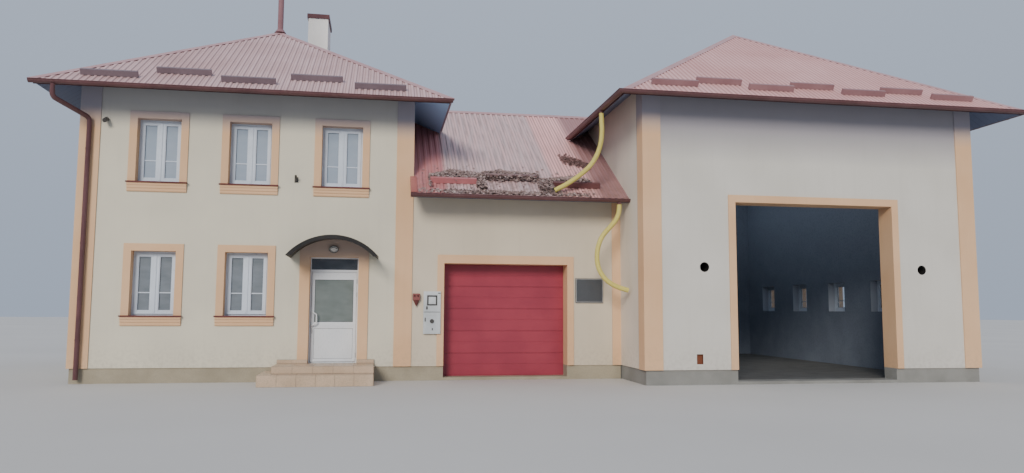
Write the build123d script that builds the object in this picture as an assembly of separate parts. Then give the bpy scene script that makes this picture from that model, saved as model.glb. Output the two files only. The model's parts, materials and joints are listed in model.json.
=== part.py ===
from build123d import *
import math
import os

# Fire station: a two-storey house, a garage wing and an engine hall in one row.
# Lengths are in millimetres. X runs along the front from the left corner of the house,
# Y runs back from the front wall of the house and Z goes up from the lowest ground.
# At the end all pieces are moved together, so that the origin lies under their middle.

# Plan of the three wings
house_width = 7005
house_depth = 7700
garage_width = 4814
hall_width = 7894
hall_depth = 10700
hall_forward = 1700
wall = 450

# Ground level to floors
plinth_height = 315
plinth_setback = 20
plinth_thickness = 430
entrance_level = 385
upper_floor_level = 3350
hall_floor_level = 65
floor_slab = 180

# Roofs: heights are those of the deck's top at its eaves, slopes are rise over run
house_eave = 6155
house_slope = 0.642
house_overhang = 790
house_left_overhang = 720
hall_eave = 6130
hall_slope = 0.66
hall_overhang = 610
hall_right_overhang = 850
garage_eave = 4085
garage_slope = 0.6586
garage_overhang = 680
garage_verge_lap = 75
deck = 105
deck_side_setback = 60

# Trapezoidal roof sheet, its caps and its snow guards
sheet_flat = 6
rib_height = 20
house_rib_pitch = 256
hall_rib_pitch = 224
garage_rib_pitch = 300
rib_crest = 45
rib_foot = 85
sheet_drip = 40
side_drip = 10
hip_gap = 25
cap_thickness = 8
cap_width = 260
guard_height = 125
guard_depth = 70
guard_plate = 5

# Gutters, outlets and the downpipe
gutter_radius = 70
gutter_wall = 4
gutter_bead = 9
gutter_drop = 35
mitre_gap = 1
seat_gap = 0.3
outlet_radius = 45
outlet_wall = 3
outlet_length = 130
short_outlet = 50
downpipe_radius = 50
downpipe_bend = 120
downpipe_drop = 365

# Windows of the house and the garage
window_width = 890
upper_sill = 4250
upper_height = 1370
ground_sill = 1410
ground_height = 1360
front_window_shares = (0.2237, 0.4932, 0.7733)
side_window_shares = (0.26, 0.74)
garage_back_window_shares = (0.291, 0.706)
# Windows of the hall
hall_window_width = 800
hall_window_sill = 1565
hall_window_height = 820
hall_side_window_shares = (0.2664, 0.4533, 0.6402, 0.8271)
hall_back_window_shares = (0.329, 0.671)
# What a window is made of
reveal = 180
frame_depth = 70
sash_step = 14
frame_side = 100
sash_inset = 42
mullion = 160
glass_thickness = 24
glass_setback = 22

# Render mouldings
render_proud = 25
pilaster_width = 385
pilaster_return = 350
band = 155
sill_lap = 20
sill_cap = 28
sill_reach = 85
moulding_height = 190
moulding_reach = 60
moulding_step = 14
garage_strip = 200

# Entrance
door_from_corner = 1695
door_width = 1040
door_head = 2700
transom_bottom = 2415
transom_rail = 40
door_reveal = 150
door_frame_side = 32
door_frame_depth = 86
door_stop = 16
door_gap = 6
lock_gap = 9
threshold = 20
leaf_thickness = 60
leaf_stile = 50
leaf_rail_height = 1265
leaf_rail = 113
leaf_top_rail = 149
leaf_bottom_rail = 60
panel_setback = 16
entrance_leg = 220
canopy_chord = 1900
canopy_rise = 440
canopy_springing = 2670
canopy_reach = 900
canopy_sheet = 22
canopy_edge = 60
lamp_width = 195
lamp_height = 140
lamp_depth = 70
lamp_level = 2865
landing_beside_left = 635
landing_beside_right = 375
landing_reach = 840
step_level = 232
step_going = 240
step_reach = 1150
tile_upstand = 90
tile_thickness = 20
hinge_radius = 9
hinge_offset = 10
hinge_height = 90
hinge_plate = 4
hinge_leaf = 34
hinge_levels = (700, 1700, 2150)
hinge_play = 0.3
pull_radius = 14
pull_height = 300
pull_reach = 75
pull_width = 95
pull_level = 1350

# Garage door
garage_door_from_house = 714
garage_door_width = 2828
garage_door_head = 2600
garage_door_leg = 150
garage_door_top_band = 190
garage_door_recess = 395
garage_door_thickness = 42
garage_panels = 5
panel_groove = 8

# Gate of the hall and the holes beside it
gate_from_corner = 2071
gate_width = 3746
gate_head = 3920
gate_band = 160
duct_radius = 105
duct_level = 2499
left_duct_beside = 726
right_duct_beside = 709
socket_from_corner = 1139
socket_width = 142
socket_bottom = 435
socket_height = 210
socket_depth = 60

# Chimney and mast on the house roof
chimney_from_ridge = 605
chimney_width = 554
chimney_front = 5000
chimney_depth = 1100
chimney_top = 9930
chimney_cap_lap = 35
chimney_cap_height = 120
chimney_clearance = 8
mast_radius = 75
mast_top = 11000
mast_cap_radius = 90
mast_cap_height = 30
flashing_radius = 150
flashing_height = 90

# Corrugated drain hoses
hose_diameter = 110
hose_sides = 8

# Small fittings on the front
camera_x = 510
camera_level = 5560
camera_radius = 45
flag_share = 0.6345
flag_level = 4385
alarm_from_house = 20
alarm_width = 160
alarm_bottom = 1635
alarm_height = 280
alarm_depth = 90
cabinet_from_house = 260
cabinet_width = 380
cabinet_bottom = 1025
cabinet_height = 940
cabinet_depth = 60
cabinet_split = 480
cabinet_window = 110
plaque_from_hall = 424
plaque_width = 655
plaque_bottom = 1735
plaque_height = 560
plaque_thickness = 30

# Places that follow from the sizes above
garage_left = house_width
garage_right = garage_left + garage_width
hall_left = garage_right
hall_right = hall_left + hall_width
hall_front = -hall_forward
hall_back = hall_front + hall_depth
gate_left = hall_left + gate_from_corner
gate_right = gate_left + gate_width
left_duct_x = gate_left - left_duct_beside
right_duct_x = gate_right + right_duct_beside
socket_left = hall_left + socket_from_corner
garage_door_left = garage_left + garage_door_from_house
garage_door_right = garage_door_left + garage_door_width
alarm_left = garage_left + alarm_from_house
cabinet_left = garage_left + cabinet_from_house
plaque_left = garage_right - plaque_from_hall - plaque_width
flag_x = house_width * flag_share
chimney_left = house_width / 2 + chimney_from_ridge
door_centre = house_width - door_from_corner
door_left = door_centre - door_width / 2
door_right = door_centre + door_width / 2
landing_left = door_left - landing_beside_left
landing_right = door_right + landing_beside_right
step_left = landing_left - step_going
leaf_left = door_left + door_frame_side + lock_gap
leaf_right = door_right - door_frame_side - door_gap
leaf_bottom = entrance_level + threshold + door_gap
leaf_top = transom_bottom - transom_rail - door_gap
hinge_x = leaf_right + door_gap / 2
hinge_y = door_reveal - hinge_offset
sheet_top = sheet_flat + rib_height
cap_top = sheet_top + cap_thickness
far = 30000


def block(x0, x1, y0, y1, z0, z1):
    """A box between two opposite corners."""
    middle = Pos((x0 + x1) / 2, (y0 + y1) / 2, (z0 + z1) / 2)
    return middle * Box(x1 - x0, y1 - y0, z1 - z0)


def drawn_out(points, direction, length):
    """The flat outline through the points, drawn out along a direction."""
    face = make_face(Polyline(*points, close=True))
    return extrude(face, amount=length, dir=direction)


def along_y(outline, y0, y1):
    """An outline of x and z drawn out from y0 to y1."""
    return drawn_out([(x, y0, z) for x, z in outline], (0, 1, 0), y1 - y0)


def along_x(outline, x0, x1):
    """An outline of y and z drawn out from x0 to x1."""
    return drawn_out([(x0, y, z) for y, z in outline], (1, 0, 0), x1 - x0)


def upright(outline, z0, z1):
    """An outline of x and y drawn up from z0 to z1."""
    return drawn_out([(x, y, z0) for x, y in outline], (0, 0, 1), z1 - z0)


def turned(x, y, angle):
    """A place on plan, turned about the vertical."""
    return Location((x, y, 0), (0, 0, angle))


def bar(radius, length, sides=12):
    """A bar with many flat sides round the Z axis, from the origin up."""
    return extrude(RegularPolygon(radius, sides), amount=length)


def rod(x, y, z0, z1, radius, sides=12):
    """An upright bar with many flat sides."""
    return Pos(x, y, z0) * bar(radius, z1 - z0, sides)


def together(pieces):
    """Pieces that touch, as one solid; pieces that don't stay apart."""
    result = pieces[0]
    for piece in pieces[1:]:
        result = result + piece
    return result


def apart(pieces):
    """Solids that don't touch, kept in one node."""
    return Compound([solid for piece in pieces for solid in piece.solids()])


class HipRoof:
    """A hipped roof over a rectangle of eaves, all four slopes alike."""

    def __init__(self, left, right, front, back, eave, slope):
        self.left, self.right = left, right
        self.front, self.back = front, back
        self.eave, self.slope = eave, slope
        self.width = right - left
        self.length = back - front
        self.run = min(self.width, self.length) / 2
        self.apex = eave + self.run * slope

    def under(self, lift=0, grow=0):
        """Everything below the deck's top, raised by lift, with the eaves moved out by grow."""
        x0, x1 = self.left - grow, self.right + grow
        y0, y1 = self.front - grow, self.back + grow
        eave = self.eave + lift - grow * self.slope
        rise_x = (x1 - x0) / 2 * self.slope
        rise_y = (y1 - y0) / 2 * self.slope
        gable_x = [(x0, 0), (x1, 0), (x1, eave), ((x0 + x1) / 2, eave + rise_x), (x0, eave)]
        gable_y = [(y0, 0), (y1, 0), (y1, eave), ((y0 + y1) / 2, eave + rise_y), (y0, eave)]
        return along_y(gable_x, y0, y1) & along_x(gable_y, x0, x1)

    def slopes(self):
        """Where each slope's eave starts, seen from outside, and how long that eave is."""
        return [(Location((self.left, self.front, self.eave), (0, 0, 0)), self.width),
                (Location((self.right, self.front, self.eave), (0, 0, 90)), self.length),
                (Location((self.right, self.back, self.eave), (0, 0, 180)), self.width),
                (Location((self.left, self.back, self.eave), (0, 0, -90)), self.length)]

    def hips(self):
        """The four hips and the ridge as lines on plan."""
        front_apex = (self.left + self.run, self.front + self.run)
        back_apex = (self.right - self.run, self.back - self.run)
        return [((self.left, self.front), front_apex), ((self.right, self.front), front_apex),
                ((self.left, self.back), back_apex), ((self.right, self.back), back_apex),
                (front_apex, back_apex)]


class GableRoof:
    """A roof of two slopes with its ridge along X."""

    def __init__(self, left, right, front, back, eave, slope):
        self.left, self.right = left, right
        self.front, self.back = front, back
        self.eave, self.slope = eave, slope
        self.run = (back - front) / 2
        self.ridge_y = (front + back) / 2

    def under(self, lift=0, grow=0, left=None, right=None):
        """Everything below the deck's top, raised by lift, with the eaves moved out by grow."""
        y0, y1 = self.front - grow, self.back + grow
        eave = self.eave + lift - grow * self.slope
        ridge = self.eave + lift + self.run * self.slope
        gable = [(y0, 0), (y1, 0), (y1, eave), (self.ridge_y, ridge), (y0, eave)]
        return along_x(gable, self.left if left is None else left, self.right if right is None else right)


house_roof = HipRoof(-house_left_overhang, house_width + house_overhang, -house_overhang,
                     house_depth + house_overhang, house_eave, house_slope)
hall_roof = HipRoof(hall_left - hall_overhang, hall_right + hall_right_overhang,
                    hall_front - hall_overhang, hall_back + hall_overhang, hall_eave, hall_slope)
garage_roof = GableRoof(garage_left - garage_verge_lap, garage_right, -garage_overhang,
                        house_depth + garage_overhang, garage_eave, garage_slope)

# Frames of the outer faces: x to the right as seen from outside, y into the wall, z up
house_front_face = turned(0, 0, 0)
house_left_face = turned(0, house_depth, -90)
house_back_face = turned(house_width, house_depth, 180)
garage_back_face = turned(garage_right, house_depth, 180)
hall_right_face = turned(hall_right, hall_front, 90)
hall_back_face = turned(hall_right, hall_back, 180)


class Window:
    """A window's place on a face and its size."""

    def __init__(self, face, centre, sill, width, height, leaves):
        self.face, self.centre, self.sill = face, centre, sill
        self.width, self.height, self.leaves = width, height, leaves
        self.x0, self.x1 = centre - width / 2, centre + width / 2
        self.top = sill + height

    def hole(self):
        """The gap in the wall, with a step in front for the metal sill."""
        gap = block(self.x0, self.x1, -wall, 2 * wall, self.sill, self.top)
        step = block(self.x0, self.x1, -wall, reveal, self.sill - sill_cap, self.sill)
        return self.face * (gap + step)

    def lights(self):
        """Left and right edge of each pane."""
        bars = mullion * (self.leaves - 1)
        light = (self.width - 2 * frame_side - bars) / self.leaves
        starts = [self.x0 + frame_side + i * (light + mullion) for i in range(self.leaves)]
        return [(start, start + light) for start in starts]

    def pane(self, light, y0, y1):
        """A block of one pane's size between two depths."""
        return block(light[0], light[1], y0, y1, self.sill + frame_side, self.top - frame_side)

    def frame(self):
        """Outer frame with the sash standing a step in front of it, cut through at each pane."""
        outer = block(self.x0, self.x1, reveal, reveal + frame_depth, self.sill, self.top)
        sash = block(self.x0 + sash_inset, self.x1 - sash_inset, reveal - sash_step, reveal,
                     self.sill + sash_inset, self.top - sash_inset)
        body = outer + sash
        for light in self.lights():
            body = body - self.pane(light, 0, wall)
        return self.face * body

    def glass(self):
        """One sealed pane in each sash."""
        y0 = reveal + glass_setback
        return [self.face * self.pane(light, y0, y0 + glass_thickness) for light in self.lights()]

    def surround(self):
        """The raised band of render around the hole, down to the sill."""
        outer = block(self.x0 - band, self.x1 + band, -render_proud, 0,
                      self.sill - sill_cap / 2, self.top + band)
        return self.face * (outer - block(self.x0, self.x1, -wall, wall, 0, self.top))

    def sill_pieces(self):
        """A thin metal cap that reaches into the reveal and a stepped moulding under it."""
        cap_bottom = self.sill - sill_cap
        wide = band + sill_lap
        outside = block(self.x0 - wide, self.x1 + wide, -sill_reach, -render_proud, cap_bottom, self.sill)
        lip = block(self.x0, self.x1, -render_proud, reveal, cap_bottom, self.sill)
        return self.face * (outside + lip)

    def moulding(self):
        """Three rolls of render that step back towards the bottom."""
        top = self.sill - sill_cap
        third = moulding_height / 3
        outline = [(0, top)]
        for step in range(3):
            reach = moulding_reach - step * moulding_step
            level = top - step * third
            outline += [(-reach, level), (-reach, level - 0.7 * third)]
        outline.append((3 * moulding_step - moulding_reach, top - moulding_height))
        outline.append((0, top - moulding_height))
        return self.face * along_x(outline, self.x0 - band, self.x1 + band)


def tall_windows(face, length, shares, sill, height):
    """Windows of two leaves; their centres are shares of the wall's length."""
    return [Window(face, length * share, sill, window_width, height, 2) for share in shares]


def hall_windows(face, length, shares):
    """Low windows of one leaf."""
    return [Window(face, length * share, hall_window_sill, hall_window_width, hall_window_height, 1)
            for share in shares]


def two_storeys(face, length, shares):
    return (tall_windows(face, length, shares, ground_sill, ground_height)
            + tall_windows(face, length, shares, upper_sill, upper_height))


house_front_ground = tall_windows(house_front_face, house_width, front_window_shares[:2],
                                  ground_sill, ground_height)
house_front_upper = tall_windows(house_front_face, house_width, front_window_shares,
                                 upper_sill, upper_height)
house_left_windows = two_storeys(house_left_face, house_depth, side_window_shares)
house_back_windows = two_storeys(house_back_face, house_width, front_window_shares)
garage_back_windows = tall_windows(garage_back_face, garage_width, garage_back_window_shares,
                                   ground_sill, ground_height)
hall_side_windows = hall_windows(hall_right_face, hall_depth, hall_side_window_shares)
hall_back_windows = hall_windows(hall_back_face, hall_width, hall_back_window_shares)
all_windows = (house_front_ground + house_front_upper + house_left_windows + house_back_windows
               + garage_back_windows + hall_side_windows + hall_back_windows)


def without_windows(piece, windows):
    for window in windows:
        piece = piece - window.hole()
    return piece


# Walls: each stands on the plinth and its top follows the underside of the roof deck
def wall_block(x0, x1, y0, y1, roof, bottom=plinth_height, top=far):
    return block(x0, x1, y0, y1, bottom, top) & roof.under(lift=-deck)


wall_split = 2950


def house_walls():
    """The front is split beside and over the entrance, which opens."""
    front_left = block(0, door_left, 0, wall, plinth_height, wall_split)
    front_right = block(door_right, house_width, 0, wall, plinth_height, wall_split)
    lintel = block(door_left, door_right, 0, wall, door_head, wall_split)
    upper = wall_block(0, house_width, 0, wall, house_roof, bottom=wall_split)
    inner_y0, inner_y1 = wall, house_depth - wall
    left = wall_block(0, wall, inner_y0, inner_y1, house_roof)
    right = wall_block(house_width - wall, house_width, inner_y0, inner_y1, house_roof)
    back = wall_block(0, house_width, inner_y1, house_depth, house_roof)
    return {"house_front_wall_left": without_windows(front_left, house_front_ground),
            "house_front_wall_right": front_right,
            "house_door_lintel": lintel,
            "house_front_wall_upper": without_windows(upper, house_front_upper),
            "house_left_wall": without_windows(left, house_left_windows),
            "house_right_wall": right,
            "house_back_wall": without_windows(back, house_back_windows)}


def garage_walls():
    front = wall_block(garage_left, garage_right, 0, wall, garage_roof)
    front = front - block(garage_door_left, garage_door_right, -wall, 2 * wall, 0, garage_door_head)
    back = wall_block(garage_left, garage_right, house_depth - wall, house_depth, garage_roof)
    return {"garage_front_wall": front,
            "garage_back_wall": without_windows(back, garage_back_windows)}


def duct(x):
    """A round hole through the hall's front wall."""
    along = Location((x, hall_front + wall / 2, duct_level), (90, 0, 0))
    return along * Cylinder(duct_radius, 3 * wall)


def hall_walls():
    """The front stands as two piers beside the gate and a lintel over it."""
    y0, y1 = hall_front, hall_front + wall
    left_pier = wall_block(hall_left, gate_left, y0, y1, hall_roof) - duct(left_duct_x)
    socket = block(socket_left, socket_left + socket_width, y0 - wall, y0 + socket_depth,
                   socket_bottom, socket_bottom + socket_height)
    right_pier = wall_block(gate_right, hall_right, y0, y1, hall_roof) - duct(right_duct_x)
    lintel = wall_block(gate_left, gate_right, y0, y1, hall_roof, bottom=gate_head)
    inner_y0, inner_y1 = y1, hall_back - wall
    left = wall_block(hall_left, hall_left + wall, inner_y0, inner_y1, hall_roof)
    right = wall_block(hall_right - wall, hall_right, inner_y0, inner_y1, hall_roof)
    back = wall_block(hall_left, hall_right, inner_y1, hall_back, hall_roof)
    return {"hall_front_pier_left": left_pier - socket,
            "hall_front_pier_right": right_pier,
            "hall_gate_lintel": lintel,
            "hall_left_wall": left,
            "hall_right_wall": without_windows(right, hall_side_windows),
            "hall_back_wall": without_windows(back, hall_back_windows)}


# Plinths and floors
def ring(x0, x1, y0, y1, z0, z1):
    """A plinth round a rectangle of walls, set back from their outer faces."""
    s, t = plinth_setback, plinth_setback + plinth_thickness
    return (block(x0 + s, x1 - s, y0 + s, y1 - s, z0, z1)
            - block(x0 + t, x1 - t, y0 + t, y1 - t, z0 - 1, z1 + 1))


def house_plinth():
    """The plinth of the house, filled up to the threshold in the doorway."""
    base = ring(0, house_width + plinth_setback, 0, house_depth, 0, plinth_height)
    sill = block(door_left, door_right, plinth_setback, wall, plinth_height, entrance_level)
    return base + sill


def garage_plinth():
    s = plinth_setback
    front = block(garage_left, garage_right, s, wall, 0, plinth_height)
    doorway = block(garage_door_left, garage_door_right, -wall, 2 * wall, hall_floor_level, far)
    back = block(garage_left, garage_right, house_depth - wall, house_depth - s, 0, plinth_height)
    return apart([front - doorway, back])


def hall_plinth():
    base = ring(hall_left, hall_right, hall_front, hall_back, 0, plinth_height)
    return base - block(gate_left, gate_right, hall_front - wall, hall_front + 2 * wall,
                        hall_floor_level, far)


def house_floors():
    x0, x1, y0, y1 = wall, house_width - wall, wall, house_depth - wall
    ground = block(x0, x1, y0, y1, 0, entrance_level)
    upper = block(x0, x1, y0, y1, upper_floor_level - floor_slab, upper_floor_level)
    return {"house_floors": apart([ground, upper])}


def ground_slabs():
    """The concrete floors of the garage and the hall."""
    garage = block(garage_left, garage_right, wall, house_depth - wall, 0, hall_floor_level)
    hall = block(hall_left + wall, hall_right - wall, hall_front + wall, hall_back - wall,
                 0, hall_floor_level)
    return {"concrete_floors": apart([garage, hall])}


# Roofs. The garage roof runs into both hipped roofs and lies on their decks there.
def garage_zone(roof_part):
    """The garage roof between its neighbours, cut where the bodies of house and hall stand."""
    clear = render_proud + 5
    beside = block(garage_roof.left, garage_roof.right, -far, far, 0, far)
    over = block(0, hall_right, 0, house_depth, 0, far)
    house_body = house_roof.under() & block(-far, garage_left, -clear, house_depth + clear, 0, far)
    hall_body = hall_roof.under() & block(hall_left, far, -far, far, 0, far)
    return (roof_part & (beside + over)) - house_body - hall_body


def garage_volume(lift, left, right):
    """What the garage roof fills between two places, up to a height over its deck."""
    return garage_roof.under(lift=lift, grow=sheet_drip, left=left, right=right)


def roof_decks():
    sides = block(house_roof.left + deck_side_setback, house_roof.right - deck_side_setback,
                  house_roof.front, house_roof.back, 0, far)
    house = (house_roof.under() - house_roof.under(lift=-deck)) & sides
    house = house - garage_volume(cap_top, garage_left, house_roof.right + 1)
    hall = hall_roof.under() - hall_roof.under(lift=-deck)
    hall = hall - garage_volume(cap_top, hall_roof.left - 1, hall_left)
    reach_left, reach_right = house_width - house_depth / 2, hall_left + house_depth / 2
    slab = (garage_roof.under(left=reach_left, right=reach_right)
            - garage_roof.under(lift=-deck, left=reach_left, right=reach_right))
    ridge = garage_roof.ridge_y
    front = garage_zone(slab & block(-far, far, -far, ridge - seat_gap / 2, 0, far))
    back = garage_zone(slab & block(-far, far, ridge + seat_gap / 2, far, 0, far))
    return {"house_roof_deck": apart(hip_slabs(house_roof, house)),
            "hall_roof_deck": apart(hip_slabs(hall_roof, hall)),
            "garage_roof_deck": apart([front, back])}


def sheet_blank(x0, x1, slope, run, drip, pitch):
    """Ribbed sheet with its eave along X at Y = 0, its flats on the plane that climbs along Y."""
    count = int((x1 - x0) / pitch)
    first = (x0 + x1) / 2 - (count - 1) / 2 * pitch
    section = [(x1, 0), (x0, 0), (x0, sheet_flat)]
    for i in range(count):
        centre = first + i * pitch
        section += [(centre - rib_foot / 2, sheet_flat), (centre - rib_crest / 2, sheet_top),
                    (centre + rib_crest / 2, sheet_top), (centre + rib_foot / 2, sheet_flat)]
    section.append((x1, sheet_flat))
    points = [(x, -drip, z - drip * slope) for x, z in section]
    return drawn_out(points, (0, 1, slope), (run + drip) * math.hypot(1, slope))


def hip_plan(length, run, drip, side_reach, gap):
    """Outline of one slope on plan, kept a gap back from the hips and the ridge."""
    corner = min(drip, side_reach)
    top = min(run, length / 2) - gap
    outline = [(-corner + gap, -drip), (length + corner - gap, -drip)]
    if corner < drip:
        outline.append((length + corner - gap, -corner))
    outline.append((length - top - gap, top))
    if length - 2 * (top + gap) > 1:
        outline.append((top + gap, top))
    if corner < drip:
        outline.append((-corner + gap, -corner))
    return outline


def hip_slabs(roof, shell):
    """The four slopes of a deck, mitred along the hips."""
    slabs = []
    for place, length in roof.slopes():
        plan = upright(hip_plan(length, roof.run, 0, 0, seat_gap), -far, far)
        slabs.append(shell & (place * plan))
    return slabs


def hip_sheets(roof, drips, pitch):
    """Ribbed sheets on the four slopes; drips are those of the front, right, back and left."""
    sheets = []
    for i, (place, length) in enumerate(roof.slopes()):
        drip, beside = drips[i], drips[(i + 1) % 4]
        blank = sheet_blank(-side_drip, length + side_drip, roof.slope, roof.run, drip, pitch)
        outline = hip_plan(length, roof.run, drip, beside, hip_gap)
        sheets.append(place * (blank & upright(outline, -far, far)))
    return sheets


def chimney_box(grow, bottom, top):
    return block(chimney_left - grow, chimney_left + chimney_width + grow,
                 chimney_front - grow, chimney_front + chimney_depth + grow, bottom, top)


def roof_sheets():
    house_drips = (sheet_drip, side_drip, sheet_drip, side_drip)
    hall_drips = (sheet_drip,) * 4
    cut = garage_volume(cap_top, house_width - house_depth / 2, hall_left + house_depth / 2)
    holes = chimney_box(chimney_clearance, 0, far)
    house = [sheet - cut - holes for sheet in hip_sheets(house_roof, house_drips, house_rib_pitch)]
    hall = [sheet - cut for sheet in hip_sheets(hall_roof, hall_drips, hall_rib_pitch)]
    reach_left, reach_right = house_width - house_depth / 2, hall_left + house_depth / 2
    run = garage_roof.run - hip_gap
    front = Pos(0, garage_roof.front, garage_roof.eave) * sheet_blank(
        reach_left, reach_right, garage_slope, run, sheet_drip, garage_rib_pitch)
    back = Location((0, garage_roof.back, garage_roof.eave), (0, 0, 180)) * sheet_blank(
        -reach_right, -reach_left, garage_slope, run, sheet_drip, garage_rib_pitch)
    return {"house_roof_sheet": apart(house), "hall_roof_sheet": apart(hall),
            "garage_roof_sheet": apart([garage_zone(front), garage_zone(back)])}


def cap_band(start, end):
    """A strip on plan along a hip or ridge, as wide as its cap."""
    length = math.hypot(end[0] - start[0], end[1] - start[1])
    angle = math.degrees(math.atan2(end[1] - start[1], end[0] - start[0]))
    middle = Location(((start[0] + end[0]) / 2, (start[1] + end[1]) / 2, far / 2), (0, 0, angle))
    return middle * Box(length + cap_width, cap_width, far)


def ridge_caps():
    """Bent caps that lie on the ribs along every hip and ridge."""
    caps = []
    cut = garage_volume(cap_top, house_width - house_depth / 2, hall_left + house_depth / 2)
    for roof in (house_roof, hall_roof):
        shell = roof.under(lift=cap_top, grow=sheet_drip) - roof.under(lift=sheet_top, grow=sheet_drip)
        strips = together([cap_band(start, end) for start, end in roof.hips()])
        caps.append((shell & strips) - cut - chimney_box(chimney_clearance, 0, far))
    reach_left, reach_right = house_width - house_depth / 2, hall_left + house_depth / 2
    shell = (garage_roof.under(lift=cap_top, left=reach_left, right=reach_right)
             - garage_roof.under(lift=sheet_top, left=reach_left, right=reach_right))
    ridge = garage_roof.ridge_y
    strip = cap_band((reach_left, ridge), (reach_right, ridge))
    caps.append((shell & strip) - house_roof.under(lift=cap_top) - hall_roof.under(lift=cap_top))
    return apart(caps)


# Snow guards: inverted channels that stand on the ribs, in two staggered rows
def snow_guard(x0, x1, up, place, slope):
    """A guard on the slope whose eave starts at place, a distance up from the eave on plan."""
    length = x1 - x0
    body = Box(length, guard_depth, guard_height) - Pos(0, 0, -guard_plate) * Box(
        length - 2 * guard_plate, guard_depth - 2 * guard_plate, guard_height)
    tilt = math.degrees(math.atan(slope))
    seat = Location(((x0 + x1) / 2, up, up * slope + sheet_top), (tilt, 0, 0))
    return place * seat * Pos(0, 0, guard_height / 2) * body


house_guard_length = 1120
house_guard_pitch = 1390
house_guard_first = 110
house_guard_rows = (310, 650)
hall_guard_length = 1040
hall_guard_pitch = 1105
hall_guard_first = 715
hall_guard_rows = (340, 580)
garage_guards = ((7362, 8392, 420), (8604, 9818, 665), (10145, 11242, 385))


def snow_guards():
    guards = []
    place = house_roof.slopes()[0][0]
    for i in range(5):
        start = house_left_overhang + house_guard_first + i * house_guard_pitch
        guards.append(snow_guard(start, start + house_guard_length, house_guard_rows[i % 2],
                                 place, house_slope))
    place = hall_roof.slopes()[0][0]
    for i in range(7):
        start = hall_guard_first + i * hall_guard_pitch
        guards.append(snow_guard(start, start + hall_guard_length, hall_guard_rows[i % 2],
                                 place, hall_slope))
    place = Location((0, garage_roof.front, garage_roof.eave), (0, 0, 0))
    for x0, x1, up in garage_guards:
        guards.append(snow_guard(x0, x1, up, place, garage_slope))
    return apart(guards)


# Gutters
def gutter_section():
    """Half-round trough with a rolled front edge, as y outwards from the fascia and z."""
    r, rim = gutter_radius, -gutter_drop
    middle = -r - seat_gap
    outer = [(middle + r * math.cos(math.radians(a)), rim + r * math.sin(math.radians(a)))
             for a in range(0, -181, -30)]
    inner_r = r - gutter_wall
    inner = [(middle + inner_r * math.cos(math.radians(a)), rim + inner_r * math.sin(math.radians(a)))
             for a in range(-180, 1, 30)]
    edge, half = middle - r, gutter_bead
    bead = [(edge - half, rim), (edge - half, rim + half), (edge + half, rim + half), (edge + half, rim)]
    return outer + bead + inner[1:]


def gutter_run(x0, x1, place, mitres=(False, False)):
    """A gutter on the fascia from x0 to x1, its ends closed or mitred round a corner."""
    r = gutter_radius
    lap = [3 * r if mitre else 0 for mitre in mitres]
    a, b = x0 - lap[0], x1 + lap[1]
    trough = along_x(gutter_section(), a, b)
    full = [(y, z) for y, z in gutter_section()[:7]]
    if not mitres[0]:
        trough = trough + along_x(full, a, a + gutter_wall)
    if not mitres[1]:
        trough = trough + along_x(full, b - gutter_wall, b)
    if any(mitres):
        g = mitre_gap / 2
        left = [(x0 + g, 0), (x0 + g - 3 * r, -3 * r)] if mitres[0] else [(a - r, 0), (a - r, -3 * r)]
        right = [(x1 - g + 3 * r, -3 * r), (x1 - g, 0)] if mitres[1] else [(b + r, -3 * r), (b + r, 0)]
        trough = trough & upright(left + right, -far, far)
    return place * trough


def outlet_end(eave, length):
    """Height of the lower end of an outlet under a gutter."""
    return eave - gutter_drop - gutter_radius + gutter_wall / 2 - length


def outlet(x, y, eave, length):
    """A short pipe under a gutter."""
    bottom = outlet_end(eave, length)
    pipe = rod(x, y, bottom, bottom + length, outlet_radius)
    return pipe - rod(x, y, bottom - 1, bottom + length - 2 * gutter_wall, outlet_radius - outlet_wall)


gutter_lap = 90
house_outlet_x = -268
house_outlet_y = house_roof.front - gutter_radius - seat_gap
garage_outlet_x = garage_right - 245
garage_outlet_y = garage_roof.front - gutter_radius - seat_gap
hall_outlet_x = hall_roof.left - gutter_radius - seat_gap
hall_outlet_y = hall_front + 835


def gutters():
    runs = []
    for face in (0, 2):
        place, length = house_roof.slopes()[face]
        runs.append(gutter_run(0, length, place))
    runs[0] = runs[0] + outlet(house_outlet_x, house_outlet_y, house_eave, outlet_length)
    place = Location((0, garage_roof.front, garage_roof.eave), (0, 0, 0))
    front = gutter_run(garage_left - gutter_lap, garage_right - 1, place)
    runs.append(front + outlet(garage_outlet_x, garage_outlet_y, garage_eave, short_outlet))
    place = Location((0, garage_roof.back, garage_roof.eave), (0, 0, 180))
    runs.append(gutter_run(-garage_right + 1, -garage_left + gutter_lap, place))
    clear = garage_volume(cap_top + 2, hall_roof.left - far / 10, hall_left)
    for place, length in hall_roof.slopes():
        runs.append(gutter_run(0, length, place, mitres=(True, True)) - clear)
    pieces = []
    for run in runs:
        pieces += run.solids()
    spout = outlet(hall_outlet_x, hall_outlet_y, hall_eave, short_outlet)
    seated = [piece + spout if piece.distance_to(spout) < 1 else piece for piece in pieces]
    return apart(seated)


def house_downpipe():
    """From the outlet, slanting back to the corner of the wall and down the pilaster."""
    start_y = house_outlet_y
    top = outlet_end(house_eave, outlet_length)
    wall_x = pilaster_width / 2
    wall_y = -render_proud - downpipe_radius - 20
    elbow = top - downpipe_drop
    path = FilletPolyline((house_outlet_x, start_y, top), (house_outlet_x, start_y, top - 130),
                          (wall_x, wall_y, elbow), (wall_x, wall_y, 90), radius=downpipe_bend)
    section = Plane(origin=(house_outlet_x, start_y, top), z_dir=(0, 0, -1)) * RegularPolygon(
        downpipe_radius, 12)
    return sweep(section, path=path)


# Chimney and mast
def chimney():
    return chimney_box(0, house_eave, chimney_top) - house_roof.under()


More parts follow.
